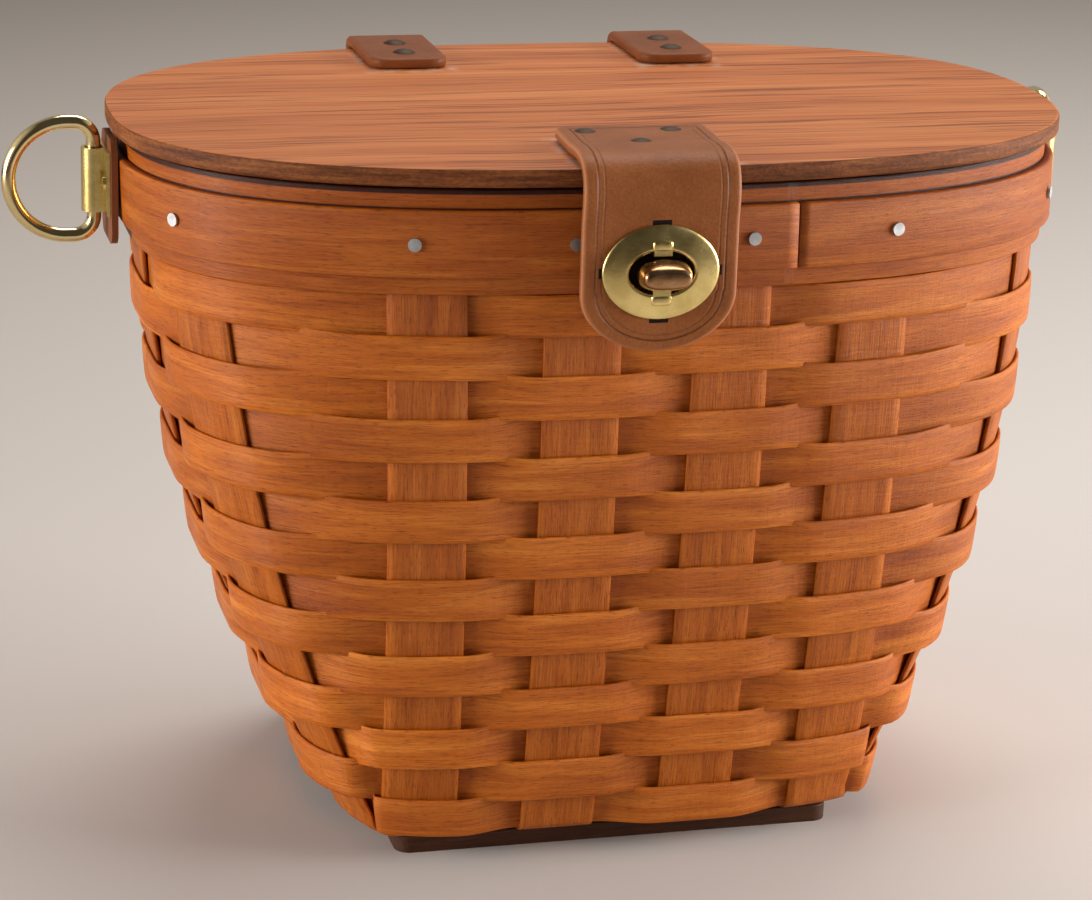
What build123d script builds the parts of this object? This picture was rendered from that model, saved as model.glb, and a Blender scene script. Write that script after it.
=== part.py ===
from build123d import *
from math import cos, pi, radians, sin, hypot
import os

os.makedirs("parts", exist_ok=True)

# Basket purse: a woven splint basket with a flat wooden lid, leather hinges,
# a strap with a turn lock and a swivelling D-ring at each end.
# Frame: origin under the centre of the base board, +Z up, +X to the right,
# the strap hangs on the -Y side. All sizes are in millimetres.

# Base board
board_length = 115.0
board_depth = 103.0
board_thickness = 4.5
board_corner = 4.0
board_edge_round = 0.6

# Splints of the weave
stake_width = 19.0
stake_thickness = 1.2
weaver_width = 9.9
weaver_thickness = 1.0
row_gap = 0.4
rows = 14
ply_gap = 0.2
mat_gap = 0.1
splint_cup = 0.02

# Wall: half outlines are superellipses that change from foot to rim
foot_length = 138.5
foot_depth = 116.0
foot_squareness = 5.2
rim_squareness = 2.5
belly_length = 11.8
belly_depth = 5.3
stake_bend = 2.0
stake_end_drop = 1.2

# Stakes: four strips run front to back and three run end to end
cross_pitch_foot = 35.4
cross_pitch_rim = 37.6
long_pitch_foot = 41.5
long_pitch_rim = 34.5
long_pitch_belly = 6.0

# Rim bands
rim_band_height = 25.4
under_band_thickness = 1.6
inner_band_thickness = 1.6
outer_band_height = 15.9
outer_band_thickness = 2.0
outer_band_drop = 4.8
band_seam_x = 33.0
band_seam_width = 0.4
tack_head_diameter = 3.2
tack_head_height = 0.6
tack_shank_diameter = 1.4
tack_side_step = 3.0
tack_seat = 0.12

# Lid
lid_length = 244.0
lid_depth = 152.0
lid_thickness = 5.0
lid_squareness = 2.5
lid_edge_round = 0.8
lid_overhang = 1.0
lid_gap = 0.4

# Leather hinges
hinge_width = 21.0
hinge_thickness = 2.8
hinge_spacing = 74.0
hinge_on_lid = 32.5
hinge_standoff = 1.6
hinge_slack = 1.2
hinge_corner = 5.0
hinge_rivet_inset = 10.9
hinge_rivet_pitch = 12.8
rim_rivet_pitch = 6.8
rim_rivet_inset = 3.6
leather_gap = 0.1

# Front strap
strap_width = 38.0
strap_offset = -3.2
strap_thickness = 2.8
strap_on_lid = 32.0
strap_standoff = 3.5
strap_drop = 43.0
strap_rear_corner = 5.0
strap_end_corner = 14.0
strap_rivet_spread = 21.4
strap_rivet_inset = 6.0
strap_rivet_step = 12.0

# Leather rivets
rivet_head_diameter = 6.0
rivet_head_height = 0.9
rivet_shank_diameter = 3.0
rivet_burr_height = 0.8
rim_burr_diameter = 4.4
rim_burr_gap = 0.15
rivet_fit = 0.05

# Turn lock
lock_drop = 18.2
plate_length = 28.7
plate_height = 23.0
plate_thickness = 1.0
plate_rim = 1.6
plate_edge = 0.8
plate_rim_height = 0.6
window_length = 16.0
window_height = 10.6
prong_width = 4.4
prong_thickness = 0.8
prong_fold = 2.4
backing_thickness = 0.7
base_plate_length = 27.0
base_plate_height = 11.0
base_plate_thickness = 1.2
base_plate_gap = 0.05
base_screw_spacing = 18.0
base_screw_head_diameter = 4.2
base_screw_head_height = 0.9
base_screw_diameter = 2.0
base_screw_depth = 1.6
post_diameter = 5.0
post_fit = 0.05
post_peen_diameter = 6.4
post_peen_height = 0.6
post_washer_diameter = 8.0
post_washer_thickness = 0.5
post_recess_diameter = 9.0
knob_length = 13.0
knob_height = 7.6
knob_face_length = 10.6
knob_face_height = 3.4
knob_depth = 5.6
knob_gap = 0.4

# D-rings
ring_wire = 3.6
ring_inside_height = 25.0
ring_depth = 24.5
ring_corner = 5.0
ring_drop = 11.4
pad_width = 20.0
pad_height = 26.4
pad_drop = 13.4
pad_thickness = 1.6
keeper_sheet = 0.9
keeper_play = 0.4
keeper_height = 16.0
keeper_plate_width = 17.0
keeper_rivet_spacing = 11.4
keeper_rivet_head_diameter = 3.6
keeper_rivet_head_height = 0.7
keeper_rivet_shank_diameter = 2.0

# Levels and sizes that follow from the driving dimensions
weave_lift = stake_thickness / 2 + weaver_thickness / 2 + ply_gap
mat_lift = stake_thickness / 2 + mat_gap
mat_level = board_thickness + mat_gap + stake_thickness / 2 + mat_lift
row_pitch = weaver_width + row_gap
weave_bottom = mat_level + stake_thickness
weave_top = weave_bottom + rows * row_pitch
rim_top = weave_top + rim_band_height
lid_bottom = rim_top + lid_gap
lid_top = lid_bottom + lid_thickness
lock_height = rim_top - lock_drop
ring_level = rim_top - ring_drop
under_band_offset = stake_thickness / 2 + ply_gap
outer_band_offset = under_band_offset + under_band_thickness + mat_gap
outer_face_offset = outer_band_offset + outer_band_thickness
inner_band_offset = -(under_band_offset + inner_band_thickness)
outer_band_top = rim_top - outer_band_drop
outer_band_bottom = outer_band_top - outer_band_height
rim_length = lid_length - 2 * (lid_overhang + outer_face_offset)
rim_depth = lid_depth - 2 * (lid_overhang + outer_face_offset)


def wall_outline(z):
    """Half length, half depth and squareness of the wall's middle surface at height z."""
    rise = (z - weave_bottom) / (rim_top - weave_bottom)
    belly = 4 * rise * (1 - rise)
    half_length = foot_length / 2 * (1 - rise) + rim_length / 2 * rise + belly_length * belly
    half_depth = foot_depth / 2 * (1 - rise) + rim_depth / 2 * rise + belly_depth * belly
    squareness = 1 / ((1 - rise) / foot_squareness + rise / rim_squareness)
    return half_length, half_depth, squareness


def oval_normal(x, y, half_length, half_depth, squareness):
    """Outward unit normal of a superellipse at a point on it."""
    nx = abs(x / half_length) ** (squareness - 1) / half_length
    ny = abs(y / half_depth) ** (squareness - 1) / half_depth
    size = hypot(nx, ny)
    return (nx / size if x > 0 else -nx / size), (ny / size if y > 0 else -ny / size)


def onto_wall(x, y, z):
    """The point of the wall's middle surface that lies in the direction of x, y."""
    half_length, half_depth, squareness = wall_outline(z)
    reach = abs(x / half_length) ** squareness + abs(y / half_depth) ** squareness
    shrink = reach ** (-1 / squareness)
    return x * shrink, y * shrink


def lifted(x, y, z, lift):
    """A wall point moved outward by lift."""
    nx, ny = oval_normal(x, y, *wall_outline(z))
    return x + nx * lift, y + ny * lift


def pitch_at(z, foot, rim, belly):
    """A stake pitch that changes from the foot to the rim and is wider half way up."""
    rise = (z - weave_bottom) / (rim_top - weave_bottom)
    return foot + (rim - foot) * rise + belly * 4 * rise * (1 - rise)


def cross_stake(number, side, z):
    """Centre of one of the four front or back stakes at height z; side is -1 in front."""
    half_length, half_depth, squareness = wall_outline(z)
    x = (number - 1.5) * pitch_at(z, cross_pitch_foot, cross_pitch_rim, 0)
    y = half_depth * (1 - abs(x / half_length) ** squareness) ** (1 / squareness)
    return x, side * y


def long_stake(number, side, z):
    """Centre of one of the three stakes of an end at height z; side is -1 on the left."""
    half_length, half_depth, squareness = wall_outline(z)
    y = (number - 1) * pitch_at(z, long_pitch_foot, long_pitch_rim, long_pitch_belly)
    x = half_length * (1 - abs(y / half_depth) ** squareness) ** (1 / squareness)
    return side * x, y


def stakes_round(z):
    """Centres of the fourteen stakes, anticlockwise from the left one in front."""
    front = [cross_stake(number, -1, z) for number in range(4)]
    right = [long_stake(number, 1, z) for number in range(3)]
    back = [cross_stake(number, 1, z) for number in (3, 2, 1, 0)]
    left = [long_stake(number, -1, z) for number in (2, 1, 0)]
    return front + right + back + left


def stake_seat(centre, z, width=stake_width):
    """The two edges and the centre of a strip of the given width on the wall."""
    x, y = centre
    nx, ny = oval_normal(x, y, *wall_outline(z))
    return [onto_wall(x - ny * s, y + nx * s, z) for s in (-width / 2, 0, width / 2)]


def woven_outline(z, row, side):
    """One face of a weaver at height z: over and under the stakes in turn."""
    seats = [stake_seat(centre, z) for centre in stakes_round(z)]
    points = []
    for number, seat in enumerate(seats):
        weave = -weave_lift if (number + row) % 2 else weave_lift
        lift = weave + side * weaver_thickness / 2
        points += [lifted(x, y, z, lift) for x, y in seat]
        following = seats[(number + 1) % len(seats)]
        gap_x = (seat[2][0] + following[0][0]) / 2
        gap_y = (seat[2][1] + following[0][1]) / 2
        points.append(lifted(*onto_wall(gap_x, gap_y, z), z, side * weaver_thickness / 2))
    return points


def oval_outline(half_length, half_depth, squareness, offset=0.0, count=40):
    """Points of a superellipse, moved outward by offset."""
    points = []
    for step in range(count):
        turn = 2 * pi * (step + 0.5) / count
        c, s = cos(turn), sin(turn)
        x = half_length * abs(c) ** (2 / squareness) * (1 if c > 0 else -1)
        y = half_depth * abs(s) ** (2 / squareness) * (1 if s > 0 else -1)
        nx, ny = oval_normal(x, y, half_length, half_depth, squareness)
        points.append((x + nx * offset, y + ny * offset))
    return points


def finish(part, name):
    """Label a piece and write its file."""
    part.label = name
    export_step(part, f"parts/{name}.step")


# Base board
with BuildPart() as base_board:
    with BuildSketch():
        RectangleRounded(board_length, board_depth, board_corner)
    extrude(amount=board_thickness)
    fillet(base_board.faces().sort_by(Axis.Z)[-1].edges(), board_edge_round)
finish(base_board.part, "base_board")


def strip_section(station, width, thickness):
    """Cross-section of a bent strip: station is (plane, sag of each edge)."""
    plane, sag_left, sag_right = station
    half = thickness / 2
    with BuildSketch(plane) as section:
        with BuildLine():
            outer = ThreePointArc(
                (-width / 2, half - sag_left), (0, half), (width / 2, half - sag_right)
            )
            inner = ThreePointArc(
                (-width / 2, -half - sag_left), (0, -half), (width / 2, -half - sag_right)
            )
            Line(outer @ 0, inner @ 0)
            Line(outer @ 1, inner @ 1)
        make_face()
    return section.sketch


def wall_station(centre_at, z, rising, width=stake_width):
    """Station of a strip on the wall: the plane's y axis points out of the basket."""
    x, y = centre_at(z)
    nx, ny = oval_normal(x, y, *wall_outline(z))
    below, above = centre_at(z - 1), centre_at(z + 1)
    climb = Vector(above[0] - below[0], above[1] - below[1], 2).normalized()
    across = Vector(-ny, nx, 0)
    seat = stake_seat((x, y), z, width)
    sags = [(x - px) * nx + (y - py) * ny + splint_cup for px, py in (seat[0], seat[2])]
    if rising:
        across = across * -1
        sags.reverse()
    else:
        climb = climb * -1
    across = (across - climb * across.dot(climb)).normalized()
    return Plane(origin=(x, y, z), x_dir=across, z_dir=climb), sags[0], sags[1]


def bend_station(centre_at, inward, turn, rising):
    """Station in the bend from the mat into the wall; turn is 0 on the mat, 90 on the wall."""
    plane, sag_left, sag_right = wall_station(centre_at, bend_top, rising)
    share, rest = sin(radians(turn)), cos(radians(turn))
    climb_height = bend_top - mat_level
    flat_across = Vector(abs(inward.Y), -abs(inward.X), 0)
    origin = plane.origin + inward * (stake_bend * (1 - share)) - Vector(0, 0, climb_height * rest)
    direction = inward * (-stake_bend * rest) + Vector(0, 0, climb_height * share)
    if not rising:
        direction = direction * -1
    direction = direction.normalized()
    across = flat_across * (1 - share) + plane.x_dir * share
    across = (across - direction * across.dot(direction)).normalized()
    sags = [max(splint_cup, sag * share) for sag in (sag_left, sag_right)]
    return Plane(origin=origin, x_dir=across, z_dir=direction), sags[0], sags[1]


def mat_station(place, level, inward):
    """Station in the flat mat under the basket, at a place along the strip's run."""
    across = Vector(abs(inward.Y), -abs(inward.X), 0)
    plane = Plane(origin=(place.X, place.Y, mat_level + level), x_dir=across, z_dir=inward)
    return plane, splint_cup, splint_cup


def stake_strip(first_at, last_at, inward, crossings):
    """A splint that comes down one wall, crosses the mat and rises up the other wall."""
    wall_levels = [rim_top - stake_end_drop]
    wall_levels += [weave_bottom + row * row_pitch for row in range(rows, 0, -1)]
    stations = [wall_station(first_at, z, False) for z in wall_levels]
    stations += [bend_station(first_at, inward, turn, False) for turn in bend_turns]
    foot = Vector(*first_at(bend_top))
    for place, level in crossings:
        for edge in (-1, 1):
            run = inward * (place + edge * (stake_width / 2 + ply_gap * 2))
            side = Vector(foot.X * abs(inward.Y), foot.Y * abs(inward.X), 0)
            stations.append(mat_station(run + side, level, inward))
    back = inward * -1
    stations += [bend_station(last_at, back, turn, True) for turn in reversed(bend_turns)]
    stations += [wall_station(last_at, z, True) for z in reversed(wall_levels)]
    sections = [strip_section(station, stake_width, stake_thickness) for station in stations]
    with BuildPart() as strip:
        loft(sections, ruled=True)
    return strip.part


bend_top = weave_bottom + 0.8
bend_turns = (90, 60, 30, 0)

# Stakes that run front to back, under the base and up both walls
for number in range(4):
    crossings = []
    for other in range(3):
        lift = mat_lift if (number + other) % 2 == 0 else -mat_lift
        crossings.append(((other - 1) * long_pitch_foot, lift))
    strip = stake_strip(
        lambda z, number=number: cross_stake(number, -1, z),
        lambda z, number=number: cross_stake(number, 1, z),
        Vector(0, 1, 0),
        crossings,
    )
    finish(strip, f"cross_stake_{number + 1}")

# Stakes that run from end to end
for number in range(3):
    crossings = []
    for other in range(4):
        lift = -mat_lift if (number + other) % 2 == 0 else mat_lift
        crossings.append(((other - 1.5) * cross_pitch_foot, lift))
    strip = stake_strip(
        lambda z, number=number: long_stake(number, -1, z),
        lambda z, number=number: long_stake(number, 1, z),
        Vector(1, 0, 0),
        crossings,
    )
    finish(strip, f"long_stake_{number + 1}")

# Weavers, from the rim down: each ring passes outside one stake and inside the next
for row in range(1, rows + 1):
    low = weave_top - row * row_pitch + row_gap / 2
    with BuildPart() as weaver:
        for side, mode in ((1, Mode.ADD), (-1, Mode.SUBTRACT)):
            for z in (low, low + weaver_width):
                with BuildSketch(Plane.XY.offset(z)):
                    with BuildLine():
                        Spline(*woven_outline(z, row, side), periodic=True)
                    make_face()
            loft(ruled=True, mode=mode)
    finish(weaver.part, f"weaver_{row:02d}")


def rim_band(low, high, offset, thickness, bores):
    """A ring that follows the wall at an offset, with bores given as (planes, radius)."""
    with BuildPart() as ring:
        for face_offset, mode in ((offset + thickness, Mode.ADD), (offset, Mode.SUBTRACT)):
            for z in (low, high):
                with BuildSketch(Plane.XY.offset(z)):
                    with BuildLine():
                        Spline(*oval_outline(*wall_outline(z), face_offset), periodic=True)
                    make_face()
            loft(ruled=True, mode=mode)
        for planes, radius in bores:
            with Locations(*planes):
                Cylinder(radius, through, mode=Mode.SUBTRACT)
    return ring.part


def rim_plane(x, y, z, lift):
    """A plane on the rim whose z axis points straight out of the basket."""
    nx, ny = oval_normal(x, y, *wall_outline(z))
    return Plane(origin=(x + nx * lift, y + ny * lift, z), x_dir=(-ny, nx, 0), z_dir=(nx, ny, 0))


# Places of what is fastened through the rim
tack_level = (outer_band_top + outer_band_bottom) / 2
tack_planes = []
for x, y in stakes_round(tack_level):
    if abs(y) < pad_width / 2:
        continue
    if abs(x) < 2 * cross_pitch_rim:
        x, y = onto_wall(x + (tack_side_step if x > 0 else -tack_side_step), y, tack_level)
    tack_planes.append(rim_plane(x, y, tack_level, outer_face_offset))

hinge_end = outer_band_bottom + leather_gap
rim_rivet_planes = []
for x in (-hinge_spacing / 2, hinge_spacing / 2):
    for z in (hinge_end + rim_rivet_inset, hinge_end + rim_rivet_inset + rim_rivet_pitch):
        half_length, half_depth, squareness = wall_outline(z)
        y = half_depth * (1 - abs(x / half_length) ** squareness) ** (1 / squareness)
        lift = outer_face_offset + hinge_thickness + 1.5 * leather_gap
        rim_rivet_planes.append(rim_plane(x, y, z, lift))

plate_reach = [lock_height + side * base_plate_height / 2 for side in (-1, 1)]
lock_face_y = -(max(wall_outline(z)[1] for z in plate_reach) + outer_face_offset + base_plate_gap)
lock_plane = Plane(origin=(strap_offset, lock_face_y, lock_height), x_dir=(1, 0, 0), z_dir=(0, -1, 0))

end_face_x = wall_outline(outer_band_top)[0] + outer_face_offset + leather_gap
keeper_face_x = end_face_x + pad_thickness + leather_gap
ring_axis_x = keeper_face_x + keeper_sheet + keeper_play + ring_wire / 2


def end_plane(side, x):
    """A plane across the basket's end at ring level, facing outward; side is -1 on the left."""
    return Plane(origin=(side * x, 0, ring_level), x_dir=(0, side, 0), z_dir=(side, 0, 0))


keeper_rivet_spots = [(-keeper_rivet_spacing / 2, 0), (keeper_rivet_spacing / 2, 0)]
screw_spots = [(-base_screw_spacing / 2, 0), (base_screw_spacing / 2, 0)]
shank_bore = rivet_shank_diameter / 2 + rivet_fit
keeper_bore = keeper_rivet_shank_diameter / 2 + rivet_fit
through = 30.0

# Rim bands
band_bottom = weave_top + mat_gap
rim_bores = [(rim_rivet_planes, shank_bore)]
inner_band = rim_band(band_bottom, rim_top, inner_band_offset, inner_band_thickness, rim_bores)
finish(inner_band, "rim_inner_band")
under_band = rim_band(band_bottom, rim_top, under_band_offset, under_band_thickness, rim_bores)
finish(under_band, "rim_under_band")

outer_bores = rim_bores + [
    (tack_planes, tack_shank_diameter / 2 + rivet_fit),
    ([lock_plane], post_recess_diameter / 2),
    ([lock_plane * Pos(x, y) for x, y in screw_spots], base_screw_diameter / 2 + rivet_fit),
]
for side in (-1, 1):
    spots = [end_plane(side, end_face_x) * Pos(x, y) for x, y in keeper_rivet_spots]
    outer_bores.append((spots, keeper_bore))
with BuildPart() as outer_band:
    add(
        rim_band(
            outer_band_bottom, outer_band_top, outer_band_offset, outer_band_thickness, outer_bores
        )
    )
    seam_y = -rim_depth / 2
    with Locations((band_seam_x, seam_y, tack_level)):
        Box(band_seam_width, through, 2 * outer_band_height, mode=Mode.SUBTRACT)
finish(outer_band.part, "rim_outer_band")

# Tacks that hold the bands to the stakes
with BuildPart() as rim_tacks:
    with Locations(*[plane.offset(tack_seat) for plane in tack_planes]):
        Cylinder(
            tack_head_diameter / 2,
            tack_head_height,
            align=(Align.CENTER, Align.CENTER, Align.MIN),
        )
        Cylinder(
            tack_shank_diameter / 2,
            outer_band_thickness,
            align=(Align.CENTER, Align.CENTER, Align.MAX),
        )
finish(rim_tacks.part, "rim_tacks")


def lid_half_depth(x):
    """Half depth of the lid's outline at x."""
    share = 1 - abs(2 * x / lid_length) ** lid_squareness
    return lid_depth / 2 * share ** (1 / lid_squareness)


# Places of the rivets that go through the lid
strap_rivet_y = -lid_depth / 2 + strap_on_lid - strap_rivet_inset
strap_rivet_spots = [
    (strap_offset - strap_rivet_spread / 2, strap_rivet_y),
    (strap_offset + strap_rivet_spread / 2, strap_rivet_y),
    (strap_offset, strap_rivet_y - strap_rivet_step),
]
hinge_edge_y = lid_half_depth(hinge_spacing / 2 - hinge_width / 2)
hinge_rivet_y = hinge_edge_y - hinge_rivet_inset
hinge_rivet_spots = [
    (side * hinge_spacing / 2, y)
    for side in (-1, 1)
    for y in (hinge_rivet_y - hinge_rivet_pitch, hinge_rivet_y)
]

# Lid
with BuildPart() as lid:
    with BuildSketch(Plane.XY.offset(lid_bottom)):
        with BuildLine():
            Spline(*oval_outline(lid_length / 2, lid_depth / 2, lid_squareness), periodic=True)
        make_face()
    extrude(amount=lid_thickness)
    rims = lid.edges().group_by(Axis.Z)
    fillet(rims[0] + rims[-1], lid_edge_round)
    with Locations(*[(x, y, lid_top) for x, y in strap_rivet_spots + hinge_rivet_spots]):
        Cylinder(shank_bore, 3 * lid_thickness, mode=Mode.SUBTRACT)
    with Locations(*[(x, y, lid_bottom) for x, y in strap_rivet_spots + hinge_rivet_spots]):
        Cylinder(
            rivet_head_diameter / 2 + 2 * rivet_fit,
            2 * (rivet_burr_height + rivet_fit),
            mode=Mode.SUBTRACT,
        )
finish(lid.part, "lid")


def rivets(planes, grip, burr_diameter, name):
    """Rivets with a domed head on each plane and a flat burr at the far end of the grip."""
    radius = rivet_head_diameter / 2
    burr = burr_diameter / 2
    shank = rivet_shank_diameter / 2
    with BuildPart() as one:
        with BuildSketch(Plane.XZ):
            with BuildLine():
                dome = ThreePointArc(
                    (0, rivet_head_height),
                    (radius * 0.7, rivet_head_height * 0.6),
                    (radius, rivet_fit),
                )
                Polyline(
                    dome @ 1,
                    (shank, rivet_fit),
                    (shank, -grip - rivet_fit),
                    (burr, -grip - rivet_fit),
                    (burr, -grip - rivet_burr_height),
                    (0, -grip - rivet_burr_height),
                    dome @ 0,
                )
            make_face()
        revolve(axis=Axis.Z)
    with BuildPart() as group:
        with Locations(*planes):
            add(one.part)
    finish(group.part, name)


# Leather hinges
hinge_top = lid_top + leather_gap
hinge_half = hinge_thickness / 2
hinge_bend = hinge_standoff + hinge_half
hinge_leg_top = outer_band_top - leather_gap


def hinge_flat(x, y):
    """Station of a hinge where it lies on the lid, heading for the back."""
    plane = Plane(origin=(x, y, hinge_top + hinge_half), x_dir=(-1, 0, 0), z_dir=(0, 1, 0))
    return plane, splint_cup, splint_cup


def hinge_curve(x, turn):
    """Station of a hinge in its bend over the lid's back edge."""
    c, s = cos(radians(turn)), sin(radians(turn))
    y = hinge_edge_y + hinge_bend * s
    z = hinge_top - hinge_standoff + hinge_bend * c
    return Plane(origin=(x, y, z), x_dir=(-1, 0, 0), z_dir=(0, c, -s)), splint_cup, splint_cup


def hinge_leg(x, z):
    """Station of a hinge where it lies on the outer band."""
    half_length, half_depth, squareness = wall_outline(z)
    y = half_depth * (1 - abs(x / half_length) ** squareness) ** (1 / squareness)
    nx, ny = oval_normal(x, y, half_length, half_depth, squareness)
    lift = outer_face_offset + leather_gap + hinge_half
    sags = [
        (x - px) * nx + (y - py) * ny + splint_cup
        for px, py in (stake_seat((x, y), z, hinge_width)[i] for i in (0, 2))
    ]
    origin = (x + nx * lift, y + ny * lift, z)
    return Plane(origin=origin, x_dir=(-ny, nx, 0), z_dir=(0, 0, -1)), sags[0], sags[1]


for number, side in enumerate((-1, 1)):
    x = side * hinge_spacing / 2
    stations = [hinge_flat(x, hinge_edge_y - hinge_on_lid), hinge_flat(x, hinge_edge_y)]
    stations += [hinge_curve(x, turn) for turn in (30, 60, 90)]
    stations += [hinge_leg(x, hinge_leg_top - hinge_slack), hinge_leg(x, hinge_end)]
    sections = [strip_section(station, hinge_width, hinge_thickness) for station in stations]
    with BuildPart() as hinge:
        loft(sections, ruled=True)
        front = hinge.faces().sort_by(Axis.Y)[0]
        fillet(front.edges().sort_by(SortBy.LENGTH)[:2], hinge_corner)
        foot = hinge.faces().sort_by(Axis.Z)[0]
        fillet(foot.edges().sort_by(SortBy.LENGTH)[:2], hinge_corner)
        with Locations(*[(x, y, lid_top) for spot, y in hinge_rivet_spots if spot == x]):
            Cylinder(shank_bore, 3 * hinge_thickness, mode=Mode.SUBTRACT)
        with Locations(*rim_rivet_planes[2 * number : 2 * number + 2]):
            Cylinder(shank_bore, 4 * hinge_thickness, mode=Mode.SUBTRACT)
    finish(hinge.part, ("hinge_strap_left", "hinge_strap_right")[number])

hinge_rivet_planes = [
    Plane(origin=(x, y, hinge_top + hinge_thickness)) for x, y in hinge_rivet_spots
]
lid_grip = leather_gap + lid_thickness - rivet_burr_height
rivets(hinge_rivet_planes, hinge_thickness + lid_grip, rivet_head_diameter, "hinge_lid_rivets")
rim_grip = lift - inner_band_offset + rim_burr_gap
rivets(rim_rivet_planes, rim_grip, rim_burr_diameter, "hinge_rim_rivets")

# Front strap: flat on the lid, bent over its edge, hanging in front of the turn button
strap_low = lid_top + leather_gap
strap_bend = strap_standoff + strap_thickness / 2
strap_front_y = -lid_depth / 2
strap_outer_y = strap_front_y - strap_standoff - strap_thickness
strap_middle = strap_low + strap_thickness / 2
with BuildPart() as front_strap:
    with BuildLine(Plane.YZ.offset(strap_offset)) as strap_path:
        on_lid = Line(
            (strap_front_y + strap_on_lid, strap_middle), (strap_front_y, strap_middle)
        )
        bend = TangentArc(
            on_lid @ 1,
            (strap_front_y - strap_bend, strap_middle - strap_bend),
            tangent=on_lid % 1,
        )
        Line(bend @ 1, (strap_front_y - strap_bend, lid_top - strap_drop))
    with BuildSketch(Plane(origin=on_lid @ 0, x_dir=(1, 0, 0), z_dir=(0, -1, 0))):
        Rectangle(strap_width, strap_thickness)
    sweep(path=strap_path.line)
    uprights = front_strap.edges().filter_by(Axis.Z)
    fillet(uprights.sort_by(Axis.Y)[-2:], strap_rear_corner)
    ends = front_strap.edges().filter_by(Axis.Y)
    fillet(ends.sort_by(Axis.Z)[:2], strap_end_corner)
    with Locations(*[(x, y, strap_low) for x, y in strap_rivet_spots]):
        Cylinder(shank_bore, 3 * strap_thickness, mode=Mode.SUBTRACT)
    strap_face = Plane(origin=(strap_offset, strap_outer_y, lock_height), x_dir=(1, 0, 0), z_dir=(0, -1, 0))
    with BuildSketch(strap_face):
        Ellipse(window_length / 2 + prong_thickness, window_height / 2 + prong_thickness)
    extrude(amount=-2 * strap_thickness, mode=Mode.SUBTRACT)
finish(front_strap.part, "front_strap")

strap_rivet_planes = [
    Plane(origin=(x, y, strap_low + strap_thickness)) for x, y in strap_rivet_spots
]
rivets(strap_rivet_planes, strap_thickness + lid_grip, rivet_head_diameter, "strap_rivets")

# Face plate of the lock, on the strap's front, dished inside its rim
face_back = strap_face.offset(leather_gap / 2)
with BuildPart() as lock_face_plate:
    with BuildSketch(face_back):
        Ellipse(plate_length / 2, plate_height / 2)
    extrude(amount=plate_thickness + plate_rim_height)
    for level, edge in ((plate_thickness, plate_rim), (plate_thickness + plate_rim_height, plate_edge)):
        with BuildSketch(face_back.offset(level)):
            Ellipse(plate_length / 2 - edge, plate_height / 2 - edge)
    loft(mode=Mode.SUBTRACT)
    with BuildSketch(face_back):
        Ellipse(window_length / 2, window_height / 2)
    extrude(amount=plate_thickness + plate_rim_height, mode=Mode.SUBTRACT)
finish(lock_face_plate.part, "lock_face_plate")

# Backing plate: its two prongs pass the window and fold over the face plate
backing_face = strap_face.offset(-strap_thickness - leather_gap / 2)
fold_face = face_back.offset(plate_thickness + leather_gap / 2)
prong_reach = window_height / 2 * (1 - (prong_width / window_length) ** 2) ** 0.5 - leather_gap
with BuildPart() as lock_backing:
    with BuildSketch(backing_face):
        Ellipse(plate_length / 2 - plate_rim, plate_height / 2 - plate_rim)
        Ellipse(window_length / 2, window_height / 2, mode=Mode.SUBTRACT)
    extrude(amount=-backing_thickness)
    for side in (-1, 1):
        prong_middle = side * (prong_reach - prong_thickness / 2)
        with BuildSketch(backing_face):
            with Locations((0, side * prong_reach)):
                Rectangle(prong_width, 2 * prong_thickness)
        extrude(amount=-backing_thickness)
        with BuildSketch(backing_face):
            with Locations((0, prong_middle)):
                Rectangle(prong_width, prong_thickness)
        extrude(amount=strap_thickness + plate_thickness + 2 * leather_gap)
        with BuildSketch(fold_face):
            with Locations((0, side * (prong_reach - prong_thickness + prong_fold / 2))):
                Rectangle(prong_width, prong_fold)
        extrude(amount=prong_thickness)
finish(lock_backing.part, "lock_backing")

# Base plate of the lock, screwed to the outer band
with BuildPart() as lock_base_plate:
    with BuildSketch(lock_plane):
        SlotOverall(base_plate_length, base_plate_height)
    extrude(amount=base_plate_thickness)
    fillet(lock_base_plate.faces().sort_by(Axis.Y)[0].edges(), base_plate_thickness / 3)
    with BuildSketch(lock_plane):
        Circle(post_diameter / 2 + post_fit)
        with Locations(*screw_spots):
            Circle(base_screw_diameter / 2 + rivet_fit)
    extrude(amount=base_plate_thickness, mode=Mode.SUBTRACT)
finish(lock_base_plate.part, "lock_base_plate")

with BuildPart() as lock_base_screws:
    with BuildSketch(lock_plane.offset(base_plate_thickness + rivet_fit)):
        with Locations(*screw_spots):
            Circle(base_screw_head_diameter / 2)
    extrude(amount=base_screw_head_height)
    fillet(lock_base_screws.faces().group_by(Axis.Y)[0].edges(), base_screw_head_height / 2)
    with BuildSketch(lock_plane.offset(base_plate_thickness + rivet_fit)):
        with Locations(*screw_spots):
            Circle(base_screw_diameter / 2)
    extrude(amount=-(base_plate_thickness + base_screw_depth))
finish(lock_base_screws.part, "lock_base_screws")

# Turn button: a post through the base plate, peened behind a washer, and a tapered knob
washer_face = lock_plane.offset(-leather_gap)
with BuildPart() as button_washer:
    with BuildSketch(washer_face):
        Circle(post_washer_diameter / 2)
        Circle(post_diameter / 2 + post_fit, mode=Mode.SUBTRACT)
    extrude(amount=-post_washer_thickness)
finish(button_washer.part, "button_washer")

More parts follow.
